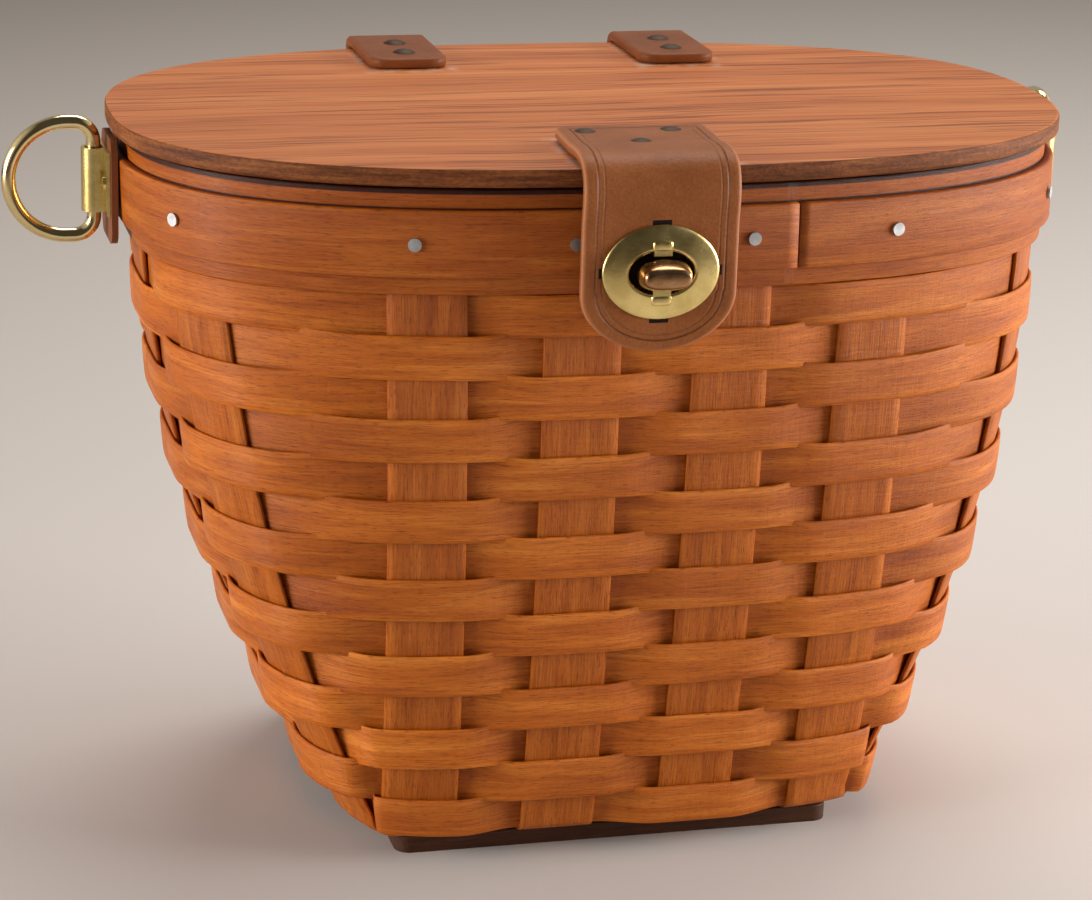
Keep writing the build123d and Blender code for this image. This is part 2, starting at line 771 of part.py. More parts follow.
peen_face = washer_face.offset(-post_washer_thickness - leather_gap)
knob_face = fold_face.offset(prong_thickness + knob_gap)
post_length = (peen_face.origin - knob_face.origin).length
with BuildPart() as turn_button:
    with BuildSketch(peen_face):
        Circle(post_peen_diameter / 2)
    extrude(amount=-post_peen_height)
    with BuildSketch(peen_face):
        Circle(post_diameter / 2)
    extrude(amount=post_length)
    with BuildSketch(knob_face):
        SlotOverall(knob_length, knob_height)
    with BuildSketch(knob_face.offset(knob_depth)):
        SlotOverall(knob_face_length, knob_face_height)
    loft()
    fillet(turn_button.faces().sort_by(Axis.Y)[0].edges(), knob_face_height / 4)
finish(turn_button.part, "turn_button")

# D-rings: the bar of each D turns upright in a keeper at the end of the rim
ring_half = ring_inside_height / 2 + ring_wire / 2
ring_reach = ring_depth - ring_wire
bow_centre = ring_reach - ring_half
ring_out = (Vector(-1, 0, 0), Vector(0, 1, 0))

for side, name, out in zip((-1, 1), ("left", "right"), ring_out):
    with BuildPart() as pad:
        with BuildSketch(end_plane(side, end_face_x)):
            with Locations((0, ring_drop - pad_drop)):
                RectangleRounded(pad_width, pad_height, pad_width / 5)
            with Locations(*keeper_rivet_spots):
                Circle(keeper_bore, mode=Mode.SUBTRACT)
        extrude(amount=pad_thickness)
    finish(pad.part, f"ring_pad_{name}")

    keeper_ground = Plane(
        origin=(side * keeper_face_x, 0, ring_level - keeper_height / 2),
        x_dir=(side, 0, 0),
        z_dir=(0, 0, 1),
    )
    loop_centre = ring_axis_x - keeper_face_x
    loop_inside = ring_wire / 2 + keeper_play
    loop_outside = loop_inside + keeper_sheet
    with BuildPart() as keeper:
        with BuildSketch(keeper_ground):
            with Locations((keeper_sheet / 2, 0)):
                Rectangle(keeper_sheet, keeper_plate_width)
            with Locations((loop_centre / 2, 0)):
                Rectangle(loop_centre, 2 * loop_outside)
            with Locations((loop_centre, 0)):
                Circle(loop_outside)
            with Locations(((loop_centre + keeper_sheet) / 2, 0)):
                Rectangle(loop_centre - keeper_sheet, 2 * loop_inside, mode=Mode.SUBTRACT)
            with Locations((loop_centre, 0)):
                Circle(loop_inside, mode=Mode.SUBTRACT)
        extrude(amount=keeper_height)
        with Locations(*[end_plane(side, keeper_face_x) * Pos(x, y) for x, y in keeper_rivet_spots]):
            Cylinder(keeper_bore, 4 * keeper_sheet, mode=Mode.SUBTRACT)
    finish(keeper.part, f"ring_keeper_{name}")

    with BuildPart() as keeper_rivets:
        with BuildSketch(end_plane(side, keeper_face_x + keeper_sheet + rivet_fit)):
            with Locations(*keeper_rivet_spots):
                Circle(keeper_rivet_head_diameter / 2)
        extrude(amount=keeper_rivet_head_height)
        with BuildSketch(end_plane(side, keeper_face_x + keeper_sheet + rivet_fit)):
            with Locations(*keeper_rivet_spots):
                Circle(keeper_rivet_shank_diameter / 2)
        extrude(amount=-(keeper_sheet + pad_thickness + outer_band_thickness))
    finish(keeper_rivets.part, f"keeper_rivets_{name}")

    ring_plane = Plane(
        origin=(side * ring_axis_x, 0, ring_level),
        x_dir=out,
        z_dir=out.cross(Vector(0, 0, 1)),
    )
    with BuildPart() as d_ring:
        with BuildLine(ring_plane) as wire_path:
            straight = ring_half - ring_corner
            bar = Line((0, -straight), (0, straight))
            CenterArc((ring_corner, straight), ring_corner, 180, -90)
            Line((ring_corner, ring_half), (bow_centre, ring_half))
            CenterArc((bow_centre, 0), ring_half, 90, -180)
            Line((bow_centre, -ring_half), (ring_corner, -ring_half))
            CenterArc((ring_corner, -straight), ring_corner, 270, -90)
        with BuildSketch(Plane(origin=bar @ 0, z_dir=bar % 0)):
            Circle(ring_wire / 2)
        sweep(path=wire_path.line)
    finish(d_ring.part, f"d_ring_{name}")
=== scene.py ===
"""Basket purse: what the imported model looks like.

Lengths are in millimetres and are turned into metres where a mesh is made. The names and
formulas follow the CAD model.
"""
import math
import random

import bpy
import numpy as np
from mathutils import Matrix, Vector


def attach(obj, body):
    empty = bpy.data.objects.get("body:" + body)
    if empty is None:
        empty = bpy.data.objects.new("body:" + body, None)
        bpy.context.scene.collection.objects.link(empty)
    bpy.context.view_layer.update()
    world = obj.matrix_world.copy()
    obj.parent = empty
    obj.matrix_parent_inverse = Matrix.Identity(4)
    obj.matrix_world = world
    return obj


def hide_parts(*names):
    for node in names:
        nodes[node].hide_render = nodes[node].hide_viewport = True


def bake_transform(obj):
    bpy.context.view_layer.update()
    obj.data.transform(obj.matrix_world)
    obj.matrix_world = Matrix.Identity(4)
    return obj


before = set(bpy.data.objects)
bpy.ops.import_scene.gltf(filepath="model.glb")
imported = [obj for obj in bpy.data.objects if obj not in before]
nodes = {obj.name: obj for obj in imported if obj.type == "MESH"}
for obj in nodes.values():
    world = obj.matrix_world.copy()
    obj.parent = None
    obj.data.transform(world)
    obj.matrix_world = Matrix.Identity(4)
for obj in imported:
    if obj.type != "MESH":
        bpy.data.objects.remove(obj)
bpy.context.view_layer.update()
rng = random.Random(7)
MM = 0.001

# dimensions
board_thickness = 4.5
stake_width, stake_thickness = 19.0, 1.2
weaver_width, weaver_thickness = 11.1, 1.0
row_pitch, row_gap, rows = 10.3, 0.4, 14
ply_gap, mat_gap = 0.2, 0.1
foot_length, foot_depth, foot_squareness = 138.5, 116.0, 5.2
rim_squareness, belly_length, belly_depth = 2.5, 11.8, 5.3
cross_pitch_foot, cross_pitch_rim = 35.4, 37.6
long_pitch_foot, long_pitch_rim, long_pitch_belly = 41.5, 34.5, 6.0
rim_band_height, under_band_thickness, inner_band_thickness = 25.4, 1.6, 1.6
outer_band_height, outer_band_thickness, outer_band_drop = 15.9, 2.0, 4.8
band_seam_x, band_seam_width = 33.0, 0.5
fold_rise, fold_inboard = 2.6, 11.0
lid_length, lid_depth, lid_thickness, lid_squareness = 244.0, 152.0, 5.0, 2.5
lid_overhang, lid_gap = 1.0, 0.4
hinge_width, hinge_thickness, hinge_spacing = 21.0, 2.8, 74.0
hinge_on_lid, hinge_standoff, hinge_corner, leather_gap = 32.5, 1.6, 5.0, 0.1
strap_width, strap_thickness, strap_offset = 38.0, 2.8, -3.2
strap_on_lid, strap_standoff, strap_drop = 32.0, 3.5, 43.0
strap_rear_corner, strap_end_corner = 2.5, 14.0
bend_start, bend_fall, bend_power, strap_rise, strap_arch = 8.0, 14.0, 3.3, 0.3, 0.4
plate_length, plate_height = 28.7, 23.0
window_length, window_height, prong_thickness = 16.0, 10.6, 0.8
lock_drop, ring_drop = 18.2, 11.4
stake_count = 14

mat_lift = stake_thickness / 2 + mat_gap
mat_level = board_thickness + mat_gap + stake_thickness / 2 + mat_lift
weave_bottom = mat_level + stake_thickness
weave_top = weave_bottom + rows * row_pitch
rim_top = weave_top + rim_band_height
lid_bottom = rim_top + lid_gap
lid_top = lid_bottom + lid_thickness
under_offset = stake_thickness / 2 + ply_gap
outer_offset = under_offset + under_band_thickness + mat_gap
outer_face = outer_offset + outer_band_thickness
inner_offset = -(under_offset + inner_band_thickness)
outer_top = rim_top - outer_band_drop
outer_bottom = outer_top - outer_band_height
rim_length = lid_length - 2 * (lid_overhang + outer_face)
rim_depth = lid_depth - 2 * (lid_overhang + outer_face)
lock_height = rim_top - lock_drop
ring_level = rim_top - ring_drop


# the wall
def wall_outline(z):
    rise = (z - weave_bottom) / (rim_top - weave_bottom)
    belly = 4 * rise * (1 - rise)
    half_length = foot_length / 2 * (1 - rise) + rim_length / 2 * rise + belly_length * belly
    half_depth = foot_depth / 2 * (1 - rise) + rim_depth / 2 * rise + belly_depth * belly
    return half_length, half_depth, 1 / ((1 - rise) / foot_squareness + rise / rim_squareness)


def oval(half_length, half_depth, squareness, count=1440):
    """Points and outward normals of a superellipse, anticlockwise from the left end."""
    turn = np.linspace(-math.pi, math.pi, count + 1)
    c, s = np.cos(turn), np.sin(turn)
    reach = np.abs(c / half_length) ** squareness + np.abs(s / half_depth) ** squareness
    size = reach ** (-1 / squareness)
    x, y = c * size, s * size
    nx = np.abs(x / half_length) ** (squareness - 1) / half_length * np.sign(x)
    ny = np.abs(y / half_depth) ** (squareness - 1) / half_depth * np.sign(y)
    size = np.hypot(nx, ny)
    return turn, x, y, nx / size, ny / size


def stake_centres(z):
    """The stakes at height z, anticlockwise from the middle of the left end."""
    half_length, half_depth, n = wall_outline(z)
    rise = (z - weave_bottom) / (rim_top - weave_bottom)
    cross = cross_pitch_foot + (cross_pitch_rim - cross_pitch_foot) * rise
    along = long_pitch_foot + (long_pitch_rim - long_pitch_foot) * rise
    along += long_pitch_belly * 4 * rise * (1 - rise)

    def front(i, side):
        x = (i - 1.5) * cross
        return x, side * half_depth * (1 - abs(x / half_length) ** n) ** (1 / n)

    def end(i, side):
        y = (i - 1) * along
        return side * half_length * (1 - abs(y / half_depth) ** n) ** (1 / n), y

    return (
        [end(1, -1), end(0, -1)]
        + [front(i, -1) for i in range(4)]
        + [end(i, 1) for i in range(3)]
        + [front(i, 1) for i in (3, 2, 1, 0)]
        + [end(2, -1)]
    )


class Level:
    """The wall's middle line at one height, measured by arc length."""

    def __init__(self, z):
        self.z = z
        turn, self.x, self.y, self.nx, self.ny = oval(*wall_outline(z))
        steps = np.hypot(np.diff(self.x), np.diff(self.y))
        self.arc = np.concatenate([[0], np.cumsum(steps)])
        self.length = self.arc[-1]
        self.stakes = [
            float(np.interp(math.atan2(y, x), turn, self.arc)) for x, y in stake_centres(z)
        ]
        self.stakes[0] = 0.0

    def at(self, s, lift=0.0):
        s = s % self.length
        x, y = np.interp(s, self.arc, self.x), np.interp(s, self.arc, self.y)
        nx, ny = np.interp(s, self.arc, self.nx), np.interp(s, self.arc, self.ny)
        return Vector((x + nx * lift, y + ny * lift, self.z)), Vector((nx, ny, 0))

    def front_arc(self, x):
        """Arc position of a point on the front half of the wall."""
        half = len(self.x) // 2
        return float(np.interp(x, self.x[:half], self.arc[:half]))

    def between(self, stake, share):
        """Arc position a share of the way from one stake to the next."""
        after = (stake + 1) % stake_count
        low = self.stakes[stake % stake_count]
        high = self.stakes[after] if after else self.length
        return low + (high - low) * share


levels = {}


def level(z):
    key = round(z, 2)
    if key not in levels:
        levels[key] = Level(z)
    return levels[key]


# mesh tools
def new_object(name, mesh, material, body, stands_for=()):
    obj = bpy.data.objects.new(name, mesh)
    bpy.context.scene.collection.objects.link(obj)
    if material:
        for one in material if isinstance(material, (list, tuple)) else [material]:
            mesh.materials.append(one)
    if body:
        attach(obj, body)
    if stands_for:
        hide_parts(*stands_for)
    return obj


def mesh_from(name, points, faces, grain=None, tint=None):
    mesh = bpy.data.meshes.new(name)
    mesh.from_pydata([tuple(MM * c for c in p) for p in points], [], faces)
    mesh.update()
    if grain is not None:
        layer = mesh.attributes.new("grain", "FLOAT_VECTOR", "POINT")
        layer.data.foreach_set("vector", np.array(grain, dtype=np.float32).ravel())
    if tint is not None:
        layer = mesh.attributes.new("tint", "FLOAT", "POINT")
        layer.data.foreach_set("value", np.array(tint, dtype=np.float32))
    mesh.polygons.foreach_set("use_smooth", [True] * len(mesh.polygons))
    return mesh


def loft(rings, closed):
    """Faces of a skin over equal rings of points, each ring a closed loop."""
    count = len(rings[0])
    faces = []
    for i in range(len(rings) if closed else len(rings) - 1):
        a, b = i * count, ((i + 1) % len(rings)) * count
        for j in range(count):
            k = (j + 1) % count
            faces.append((a + j, b + j, b + k, a + k))
    if not closed:
        faces.append(tuple(range(count)))
        last = (len(rings) - 1) * count
        faces.append(tuple(last + j for j in reversed(range(count))))
    return faces


def skin(name, rings, closed, grain=None, tint=None):
    return mesh_from(name, [p for ring in rings for p in ring], loft(rings, closed), grain, tint)


def splint_section(width, thickness, crown=0.1, edge=0.34):
    """A rounded strip section as (across, out) pairs."""
    h, t, r = width / 2, thickness / 2, edge
    return [
        (-h, -(t - r)),
        (-h, t - r),
        (-(h - r * 0.6), t - 0.04),
        (-h * 0.72, t + crown * 0.5),
        (0, t + crown),
        (h * 0.72, t + crown * 0.5),
        (h - r * 0.6, t - 0.04),
        (h, t - r),
        (h, -(t - r)),
        (h - r, -t),
        (0, -t),
        (-(h - r), -t),
    ]


def wave(seed, turns, size):
    """A smooth periodic wobble of position 0..1."""
    maker = random.Random(seed)
    parts = [(maker.uniform(-1, 1), maker.uniform(0, 2 * math.pi), k) for k in turns]
    return lambda u: size * sum(a * math.sin(2 * math.pi * k * u + p) for a, p, k in parts)


# materials
def material(name):
    mat = bpy.data.materials.new(name)
    mat.use_nodes = True
    tree = mat.node_tree
    shader = tree.nodes["Principled BSDF"]
    return mat, tree, shader


def node(tree, kind, **values):
    made = tree.nodes.new(kind)
    for key, value in values.items():
        if key.startswith("in_"):
            made.inputs[key[3:].replace("_", " ")].default_value = value
        else:
            setattr(made, key, value)
    return made


def parts_of(tree, vector):
    """The X, Y and Z of a vector."""
    made = node(tree, "ShaderNodeSeparateXYZ")
    tree.links.new(vector, made.inputs["Vector"])
    return list(made.outputs)


def span(tree, value, low, high, to_low=0.0, to_high=1.0):
    """A value from low..high set over to_low..to_high, clamped."""
    made = node(tree, "ShaderNodeMapRange", in_From_Min=low, in_From_Max=high)
    made.inputs["To Min"].default_value = to_low
    made.inputs["To Max"].default_value = to_high
    tree.links.new(value, made.inputs["Value"])
    return made.outputs["Result"]


def surface(tree, shader, colour, rough, specular):
    tree.links.new(colour, shader.inputs["Base Color"])
    shader.inputs["Roughness"].default_value = rough
    shader.inputs["Specular IOR Level"].default_value = specular


def object_place(tree):
    return node(tree, "ShaderNodeTexCoord").outputs["Object"]


def attribute(tree, name, output):
    return node(tree, "ShaderNodeAttribute", attribute_name=name).outputs[output]


def ramp(tree, source, stops):
    made = tree.nodes.new("ShaderNodeValToRGB")
    tree.links.new(source, made.inputs["Fac"])
    while len(made.color_ramp.elements) < len(stops):
        made.color_ramp.elements.new(0.5)
    for element, (place, colour) in zip(made.color_ramp.elements, stops):
        element.position = place
        element.color = (*colour, 1)
    return made.outputs["Color"]


def mix(tree, kind, fac, a, b):
    made = tree.nodes.new("ShaderNodeMix")
    made.data_type = "RGBA"
    made.blend_type = kind
    for socket, value in ((made.inputs[0], fac), (made.inputs[6], a), (made.inputs[7], b)):
        if isinstance(value, (int, float)):
            socket.default_value = value
        elif isinstance(value, tuple):
            socket.default_value = (*value, 1)
        else:
            tree.links.new(value, socket)
    return made.outputs[2]


def noise(tree, source, scale, detail=3.0, rough=0.55, distort=0.0):
    place = node(tree, "ShaderNodeMapping", in_Scale=scale)
    tree.links.new(source, place.inputs["Vector"])
    made = node(
        tree,
        "ShaderNodeTexNoise",
        in_Scale=1.0,
        in_Detail=detail,
        in_Roughness=rough,
        in_Distortion=distort,
    )
    tree.links.new(place.outputs["Vector"], made.inputs["Vector"])
    return made.outputs["Fac"]


def bump(tree, shader, height, distance, strength=1.0, normal=None):
    made = node(tree, "ShaderNodeBump", in_Distance=distance, in_Strength=strength)
    tree.links.new(height, made.inputs["Height"])
    if normal:
        tree.links.new(normal, made.inputs["Normal"])
    tree.links.new(made.outputs["Normal"], shader.inputs["Normal"])
    return made.outputs["Normal"]


def splint_wood(name, dark, mid, light, chatter=0.0, rough=0.45, solid=False):
    """Stained wood, its grain along the first value of the grain attribute, or along X when solid."""
    mat, tree, shader = material(name)
    if solid:
        place = node(tree, "ShaderNodeMapping", in_Scale=(1 / MM, 1 / MM, 1 / MM))
        tree.links.new(object_place(tree), place.inputs["Vector"])
        grain = place.outputs["Vector"]
    else:
        grain = attribute(tree, "grain", "Vector")
    broad = noise(tree, grain, (0.022, 0.25, 1.0), detail=4, distort=0.6)
    fine = noise(tree, grain, (0.07, 2.1, 1.0), detail=6, rough=0.78)
    pores = noise(tree, grain, (0.34, 4.0, 3.0), detail=2, rough=0.5)
    base = ramp(tree, broad, [(0.22, dark), (0.5, mid), (0.80, light)])
    streak_colours = [(0.30, (0.50, 0.42, 0.34)), (0.50, (1, 1, 1)), (0.75, (1.28, 1.32, 1.36))]
    colour = mix(tree, "MULTIPLY", 0.95, base, ramp(tree, fine, streak_colours))
    pore_colours = [(0.33, (0.50, 0.38, 0.28)), (0.42, (1, 1, 1))]
    colour = mix(tree, "MULTIPLY", 0.8, colour, ramp(tree, pores, pore_colours))
    if not solid:
        # the low end of the tint is near-black, painted shade for crevices
        dark_shades = [(0.0, (0.10, 0.06, 0.04)), (0.16, (0.66, 0.57, 0.48))]
        shades = dark_shades + [(0.5, (1, 1, 1)), (1.0, (1.3, 1.36, 1.5))]
        shade = ramp(tree, attribute(tree, "tint", "Fac"), shades)
        colour = mix(tree, "MULTIPLY", 1.0, colour, shade)
    surface(tree, shader, colour, rough, 0.26)
    first = bump(tree, shader, fine, 0.0003, 0.8)
    if chatter:
        ripple = noise(tree, grain, (0.9, 0.12, 1.0), detail=2)
        bump(tree, shader, ripple, 0.00025, chatter, first)
    return mat


weave_wood = splint_wood(
    "weaver_splint", (0.31, 0.061, 0.003), (0.45, 0.108, 0.006), (0.61, 0.190, 0.022), chatter=0.3
)
stake_wood = splint_wood(
    "stake_splint", (0.29, 0.058, 0.003), (0.41, 0.098, 0.006), (0.52, 0.150, 0.017), chatter=0.9
)
# the rim's wood is a little darker than the splints', painted shade under the lid's edge
rim_wood = splint_wood(
    "rim_wood", (0.26, 0.049, 0.002), (0.38, 0.086, 0.005), (0.52, 0.152, 0.017), chatter=0.1, rough=0.42
)
# the board is far darker than the splints, painted shade at the basket's foot
board_wood = splint_wood(
    "base_board", (0.040, 0.011, 0.003), (0.060, 0.017, 0.004), (0.085, 0.026, 0.007), solid=True
)


def calc(tree, operation, a, b=None, clamp=False):
    made = node(tree, "ShaderNodeMath", operation=operation, use_clamp=clamp)
    for socket, value in zip(made.inputs, (a, b)):
        if isinstance(value, (int, float)):
            socket.default_value = value
        elif value is not None:
            tree.links.new(value, socket)
    return made.outputs[0]


def box_mask(tree, x, y, centre, half, soft):
    """1 inside a rectangle of the plane, falling to 0 over the soft distance outside it."""
    over = []
    for value, middle, reach in zip((x, y), centre, half):
        off = calc(tree, "ABSOLUTE", calc(tree, "SUBTRACT", value, middle))
        over.append(calc(tree, "SUBTRACT", off, reach))
    outside = calc(tree, "MAXIMUM", calc(tree, "MAXIMUM", *over), 0.0)
    return calc(tree, "SUBTRACT", 1.0, calc(tree, "DIVIDE", outside, soft), clamp=True)


def lid_material():
    mat, tree, shader = material("lid_wood")
    place = object_place(tree)
    warp = node(tree, "ShaderNodeTexNoise", in_Scale=9.0, in_Detail=2.0)
    tree.links.new(place, warp.inputs["Vector"])
    shift = node(tree, "ShaderNodeVectorMath", operation="MULTIPLY_ADD")
    tree.links.new(warp.outputs["Color"], shift.inputs[0])
    shift.inputs[1].default_value = (0.0, 0.012, 0.0)
    tree.links.new(place, shift.inputs[2])
    along = shift.outputs["Vector"]
    broad = noise(tree, along, (2.5, 90, 5), detail=4, rough=0.6)
    fine = noise(tree, along, (6, 520, 13), detail=5, rough=0.75)
    dashes = noise(tree, along, (28, 900, 42), detail=1, rough=0.4)
    wood = [(0.26, (0.38, 0.095, 0.018)), (0.5, (0.52, 0.155, 0.036)), (0.76, (0.62, 0.220, 0.065))]
    base = ramp(tree, broad, wood)
    streak_colours = [(0.30, (0.60, 0.52, 0.44)), (0.52, (1, 1, 1)), (0.8, (1.14, 1.15, 1.16))]
    colour = mix(tree, "MULTIPLY", 0.9, base, ramp(tree, fine, streak_colours))
    pore_colours = [(0.32, (0.42, 0.32, 0.24)), (0.42, (1, 1, 1))]
    colour = mix(tree, "MULTIPLY", 0.85, colour, ramp(tree, dashes, pore_colours))
    place_x, place_y, place_z = parts_of(tree, place)
    smears = noise(tree, place, (170, 170, 170), detail=3, rough=0.6)
    marks = 0.0
    on_top = calc(tree, "GREATER_THAN", place_z, (lid_top - 1) * MM)
    for (x, y), (half_x, half_y) in glued_tabs:
        tab_centre, tab_half = (x * MM, y * MM), (half_x * MM, half_y * MM)
        mask = box_mask(tree, place_x, place_y, tab_centre, tab_half, 3 * MM)
        marks = calc(tree, "MAXIMUM", marks, mask)
    strength = calc(tree, "MULTIPLY", calc(tree, "SUBTRACT", smears, 0.42), 4.0, clamp=True)
    glue = calc(tree, "MULTIPLY", calc(tree, "MULTIPLY", marks, strength), 0.55)
    glue = calc(tree, "MULTIPLY", glue, on_top)
    colour = mix(tree, "MIX", glue, colour, (0.56, 0.46, 0.38))
    surface(tree, shader, colour, 0.48, 0.22)
    bump(tree, shader, fine, 0.00014, 0.8)
    return mat


def edge_material():
    mat, tree, shader = material("lid_edge")
    place = object_place(tree)
    grit = noise(tree, place, (700, 700, 1500), detail=3, rough=0.7)
    streaks = noise(tree, place, (60, 60, 900), detail=3, rough=0.6)
    plies = [(0.3, (0.10, 0.026, 0.004)), (0.52, (0.21, 0.060, 0.012)), (0.75, (0.34, 0.115, 0.030))]
    grit_colours = [(0.3, (0.45, 0.38, 0.32)), (0.6, (1, 1, 1)), (0.8, (1.5, 1.55, 1.6))]
    base = ramp(tree, streaks, plies)
    colour = mix(tree, "MULTIPLY", 0.75, base, ramp(tree, grit, grit_colours))
    surface(tree, shader, colour, 0.65, 0.25)
    bump(tree, shader, grit, 0.0003, 0.7)
    return mat


def leather(name, dark, light, edge, creases=(), painted_shadow_boxes=()):
    """Leather. Its grain attribute holds the flat cut's x, length and distance from the edge, in mm.

    A crease is (distance from the edge, strength); each painted shadow box is a (centre, half sizes)
    rectangle of the flat cut, painted near-black as the shade inside the lock.
    """
    mat, tree, shader = material(name)
    place = object_place(tree)
    cloud = noise(tree, place, (70, 70, 70), detail=5, rough=0.65)
    pebbles = node(tree, "ShaderNodeTexVoronoi", in_Scale=1300.0)
    tree.links.new(place, pebbles.inputs["Vector"])
    fine = noise(tree, place, (1400, 1400, 1400), detail=3)
    x, s, d = parts_of(tree, attribute(tree, "grain", "Vector"))
    colour = ramp(tree, cloud, [(0.3, dark), (0.7, light)])
    dusty = ramp(tree, fine, [(0.3, (0.86, 0.84, 0.82)), (0.7, (1.12, 1.12, 1.12))])
    colour = mix(tree, "MULTIPLY", 1.0, colour, dusty)
    inside = calc(tree, "DIVIDE", d, 0.9, clamp=True)
    colour = mix(tree, "MIX", inside, edge, colour)
    first = bump(tree, shader, pebbles.outputs["Distance"], 0.00008, 0.5)
    last = bump(tree, shader, fine, 0.00005, 0.6, first)
    for inset, strength in creases:
        off = calc(tree, "ABSOLUTE", calc(tree, "SUBTRACT", d, inset))
        line = calc(tree, "SUBTRACT", 1.0, calc(tree, "DIVIDE", off, 0.38), clamp=True)
        dent = calc(tree, "MULTIPLY", line, strength)
        colour = mix(tree, "MULTIPLY", dent, colour, (0.55, 0.48, 0.42))
        last = bump(tree, shader, calc(tree, "SUBTRACT", 1.0, dent), 0.0004, 1.0, last)
    # painted shadow: the leather is near-black where the lock's window shows it
    for centre, half in painted_shadow_boxes:
        mask = box_mask(tree, x, s, centre, half, 0.12)
        colour = mix(tree, "MIX", mask, colour, (0.008, 0.005, 0.004))
    surface(tree, shader, colour, 0.46, 0.14)
    return mat


def metal(name, colour, wear_and_edge_highlight, rough, marks=0.3):
    mat, tree, shader = material(name)
    place = object_place(tree)
    cloud = noise(tree, place, (140, 140, 140), detail=5, rough=0.65)
    base = ramp(tree, cloud, [(0.35, wear_and_edge_highlight), (0.62, colour)])
    tree.links.new(base, shader.inputs["Base Color"])
    shader.inputs["Metallic"].default_value = 1.0
    uneven = span(tree, cloud, 0.0, 1.0, rough * 0.8, rough * 1.5)
    tree.links.new(uneven, shader.inputs["Roughness"])
    scuff = noise(tree, place, (1100, 1100, 1100), detail=2)
    bump(tree, shader, scuff, 0.00004, marks)
    return mat


# where leather is glued to the lid, as the centre and half sizes of each place
glued_tabs = [
    ((-hinge_spacing / 2, 54.6), (hinge_width / 2, 14.5)),
    ((hinge_spacing / 2, 54.6), (hinge_width / 2, 14.5)),
    ((strap_offset + 1.5, -60.0), (strap_width / 2, 15.5)),
]
lid_wood = lid_material()
lid_edge = edge_material()
hinge_leather = leather(
    "hinge_leather", (0.17, 0.046, 0.011), (0.24, 0.071, 0.018), (0.20, 0.054, 0.015)
)
pad_leather = leather("pad_leather", (0.20, 0.065, 0.024), (0.27, 0.095, 0.038), (0.19, 0.06, 0.022))
brass = metal("brass", (0.84, 0.66, 0.27), (0.62, 0.47, 0.17), 0.22)
ring_brass = metal("ring_brass", (0.84, 0.68, 0.36), (0.70, 0.55, 0.26), 0.10, 0.1)
bronze = metal("dark_bronze", (0.62, 0.37, 0.19), (0.34, 0.18, 0.08), 0.18)
# near-black brass: painted shade for the lock's inner parts seen through its window
painted_shade_brass = metal("painted_shade_brass", (0.030, 0.020, 0.012), (0.016, 0.011, 0.007), 0.5)
zinc = metal("zinc", (0.62, 0.63, 0.64), (0.36, 0.36, 0.36), 0.42)
rivet_metal = metal("rivet_metal", (0.085, 0.055, 0.038), (0.045, 0.028, 0.02), 0.5)


# weavers
plateau = stake_width / 2 + 0.6
lift_size = weaver_thickness / 2 + stake_thickness / 2 + 0.1
# a flat splint can't follow the taper, so its lower edge stands off the wall by this share
stand_off = 0.6
# inside the stakes a row reaches down and up behind its neighbours
tuck_down, tuck_up = 1.7, 1.5
# outside the stakes its top edge sits lower
top_drop = 0.3
# rings from one stake to the next
weaver_steps = 14


def smooth(share):
    """A soft step from 0 to 1."""
    return share * share * (3 - 2 * share)


def weave_lift_at(distance, gap, here, there):
    """Lift between two stakes: flat over each stake, turning over in the gap."""
    if distance <= plateau:
        return here
    if distance >= gap - plateau:
        return there
    return here + (there - here) * smooth((distance - plateau) / (gap - 2 * plateau))


def make_weaver(row):
    middle_height = weave_top - (row - 0.5) * row_pitch
    low = max(middle_height - weaver_width / 2, weave_bottom + row_gap / 2)
    high = min(middle_height + weaver_width / 2, weave_top + 0.05)
    bottom, middle, top = level(low), level(middle_height), level(high)
    climb = wave(row * 11 + 3, (2, 3, 5, 7), 0.06)
    narrow = wave(row * 11 + 5, (2, 5, 9, 12), 0.03)
    tone = wave(row * 11 + 7, (1, 3, 6, 11), 0.07)
    base_tone = 0.5 + rng.uniform(-0.13, 0.13)
    tilt = rng.uniform(-0.1, 0.1)
    section = splint_section(weaver_width, weaver_thickness)
    rings, grain, tint = [], [], []
    for stake in range(stake_count):
        here = lift_size if (stake + row) % 2 == 0 else -lift_size
        gap = middle.between(stake, 1.0) - middle.between(stake, 0.0)
        for step in range(weaver_steps):
            share = step / weaver_steps
            u = (stake + share) / stake_count
            lift = weave_lift_at(gap * share, gap, here, -here)
            outness = (lift / lift_size + 1) / 2
            inness = 1 - outness
            arc = middle.between(stake, share)
            low_point, normal = bottom.at(bottom.between(stake, share))
            high_point, _ = top.at(top.between(stake, share))
            flare = stand_off * (high_point - low_point).dot(normal)
            squeeze = 1 - narrow(u) / weaver_width
            ring = []
            for across, out in section:
                # 0 at the row's lower edge, 1 at its upper edge
                f = across / weaver_width + 0.5
                reach = lift + out + tilt * (f - 0.5) + flare * (outness * (1 - f) - inness * f)
                lower = top_drop * outness**2 * f
                if row < rows:
                    lower += tuck_down * inness**2 * (1 - f)
                if row > 1:
                    lower -= tuck_up * inness**2 * f
                point = low_point.lerp(high_point, 0.5 + (f - 0.5) * squeeze - lower / weaver_width)
                point = point + normal * reach
                point.z += climb(u)
                ring.append(point)
                grain.append((arc, across + out, row * 17.0))
                # painted highlight: the row's edges are lighter, and so is the row where it bulges out
                # over a stake
                wear_and_edge_highlight = 0.2 if abs(across) > weaver_width * 0.47 else 0.0
                tint.append(base_tone + tone(u) + 0.26 * (outness - 0.3) + wear_and_edge_highlight)
            rings.append(ring)
    node_name = f"weaver_{row:02d}"
    mesh = skin(node_name, rings, True, grain, tint)
    new_object(f"splint_{row:02d}", mesh, weave_wood, "basket", [node_name])


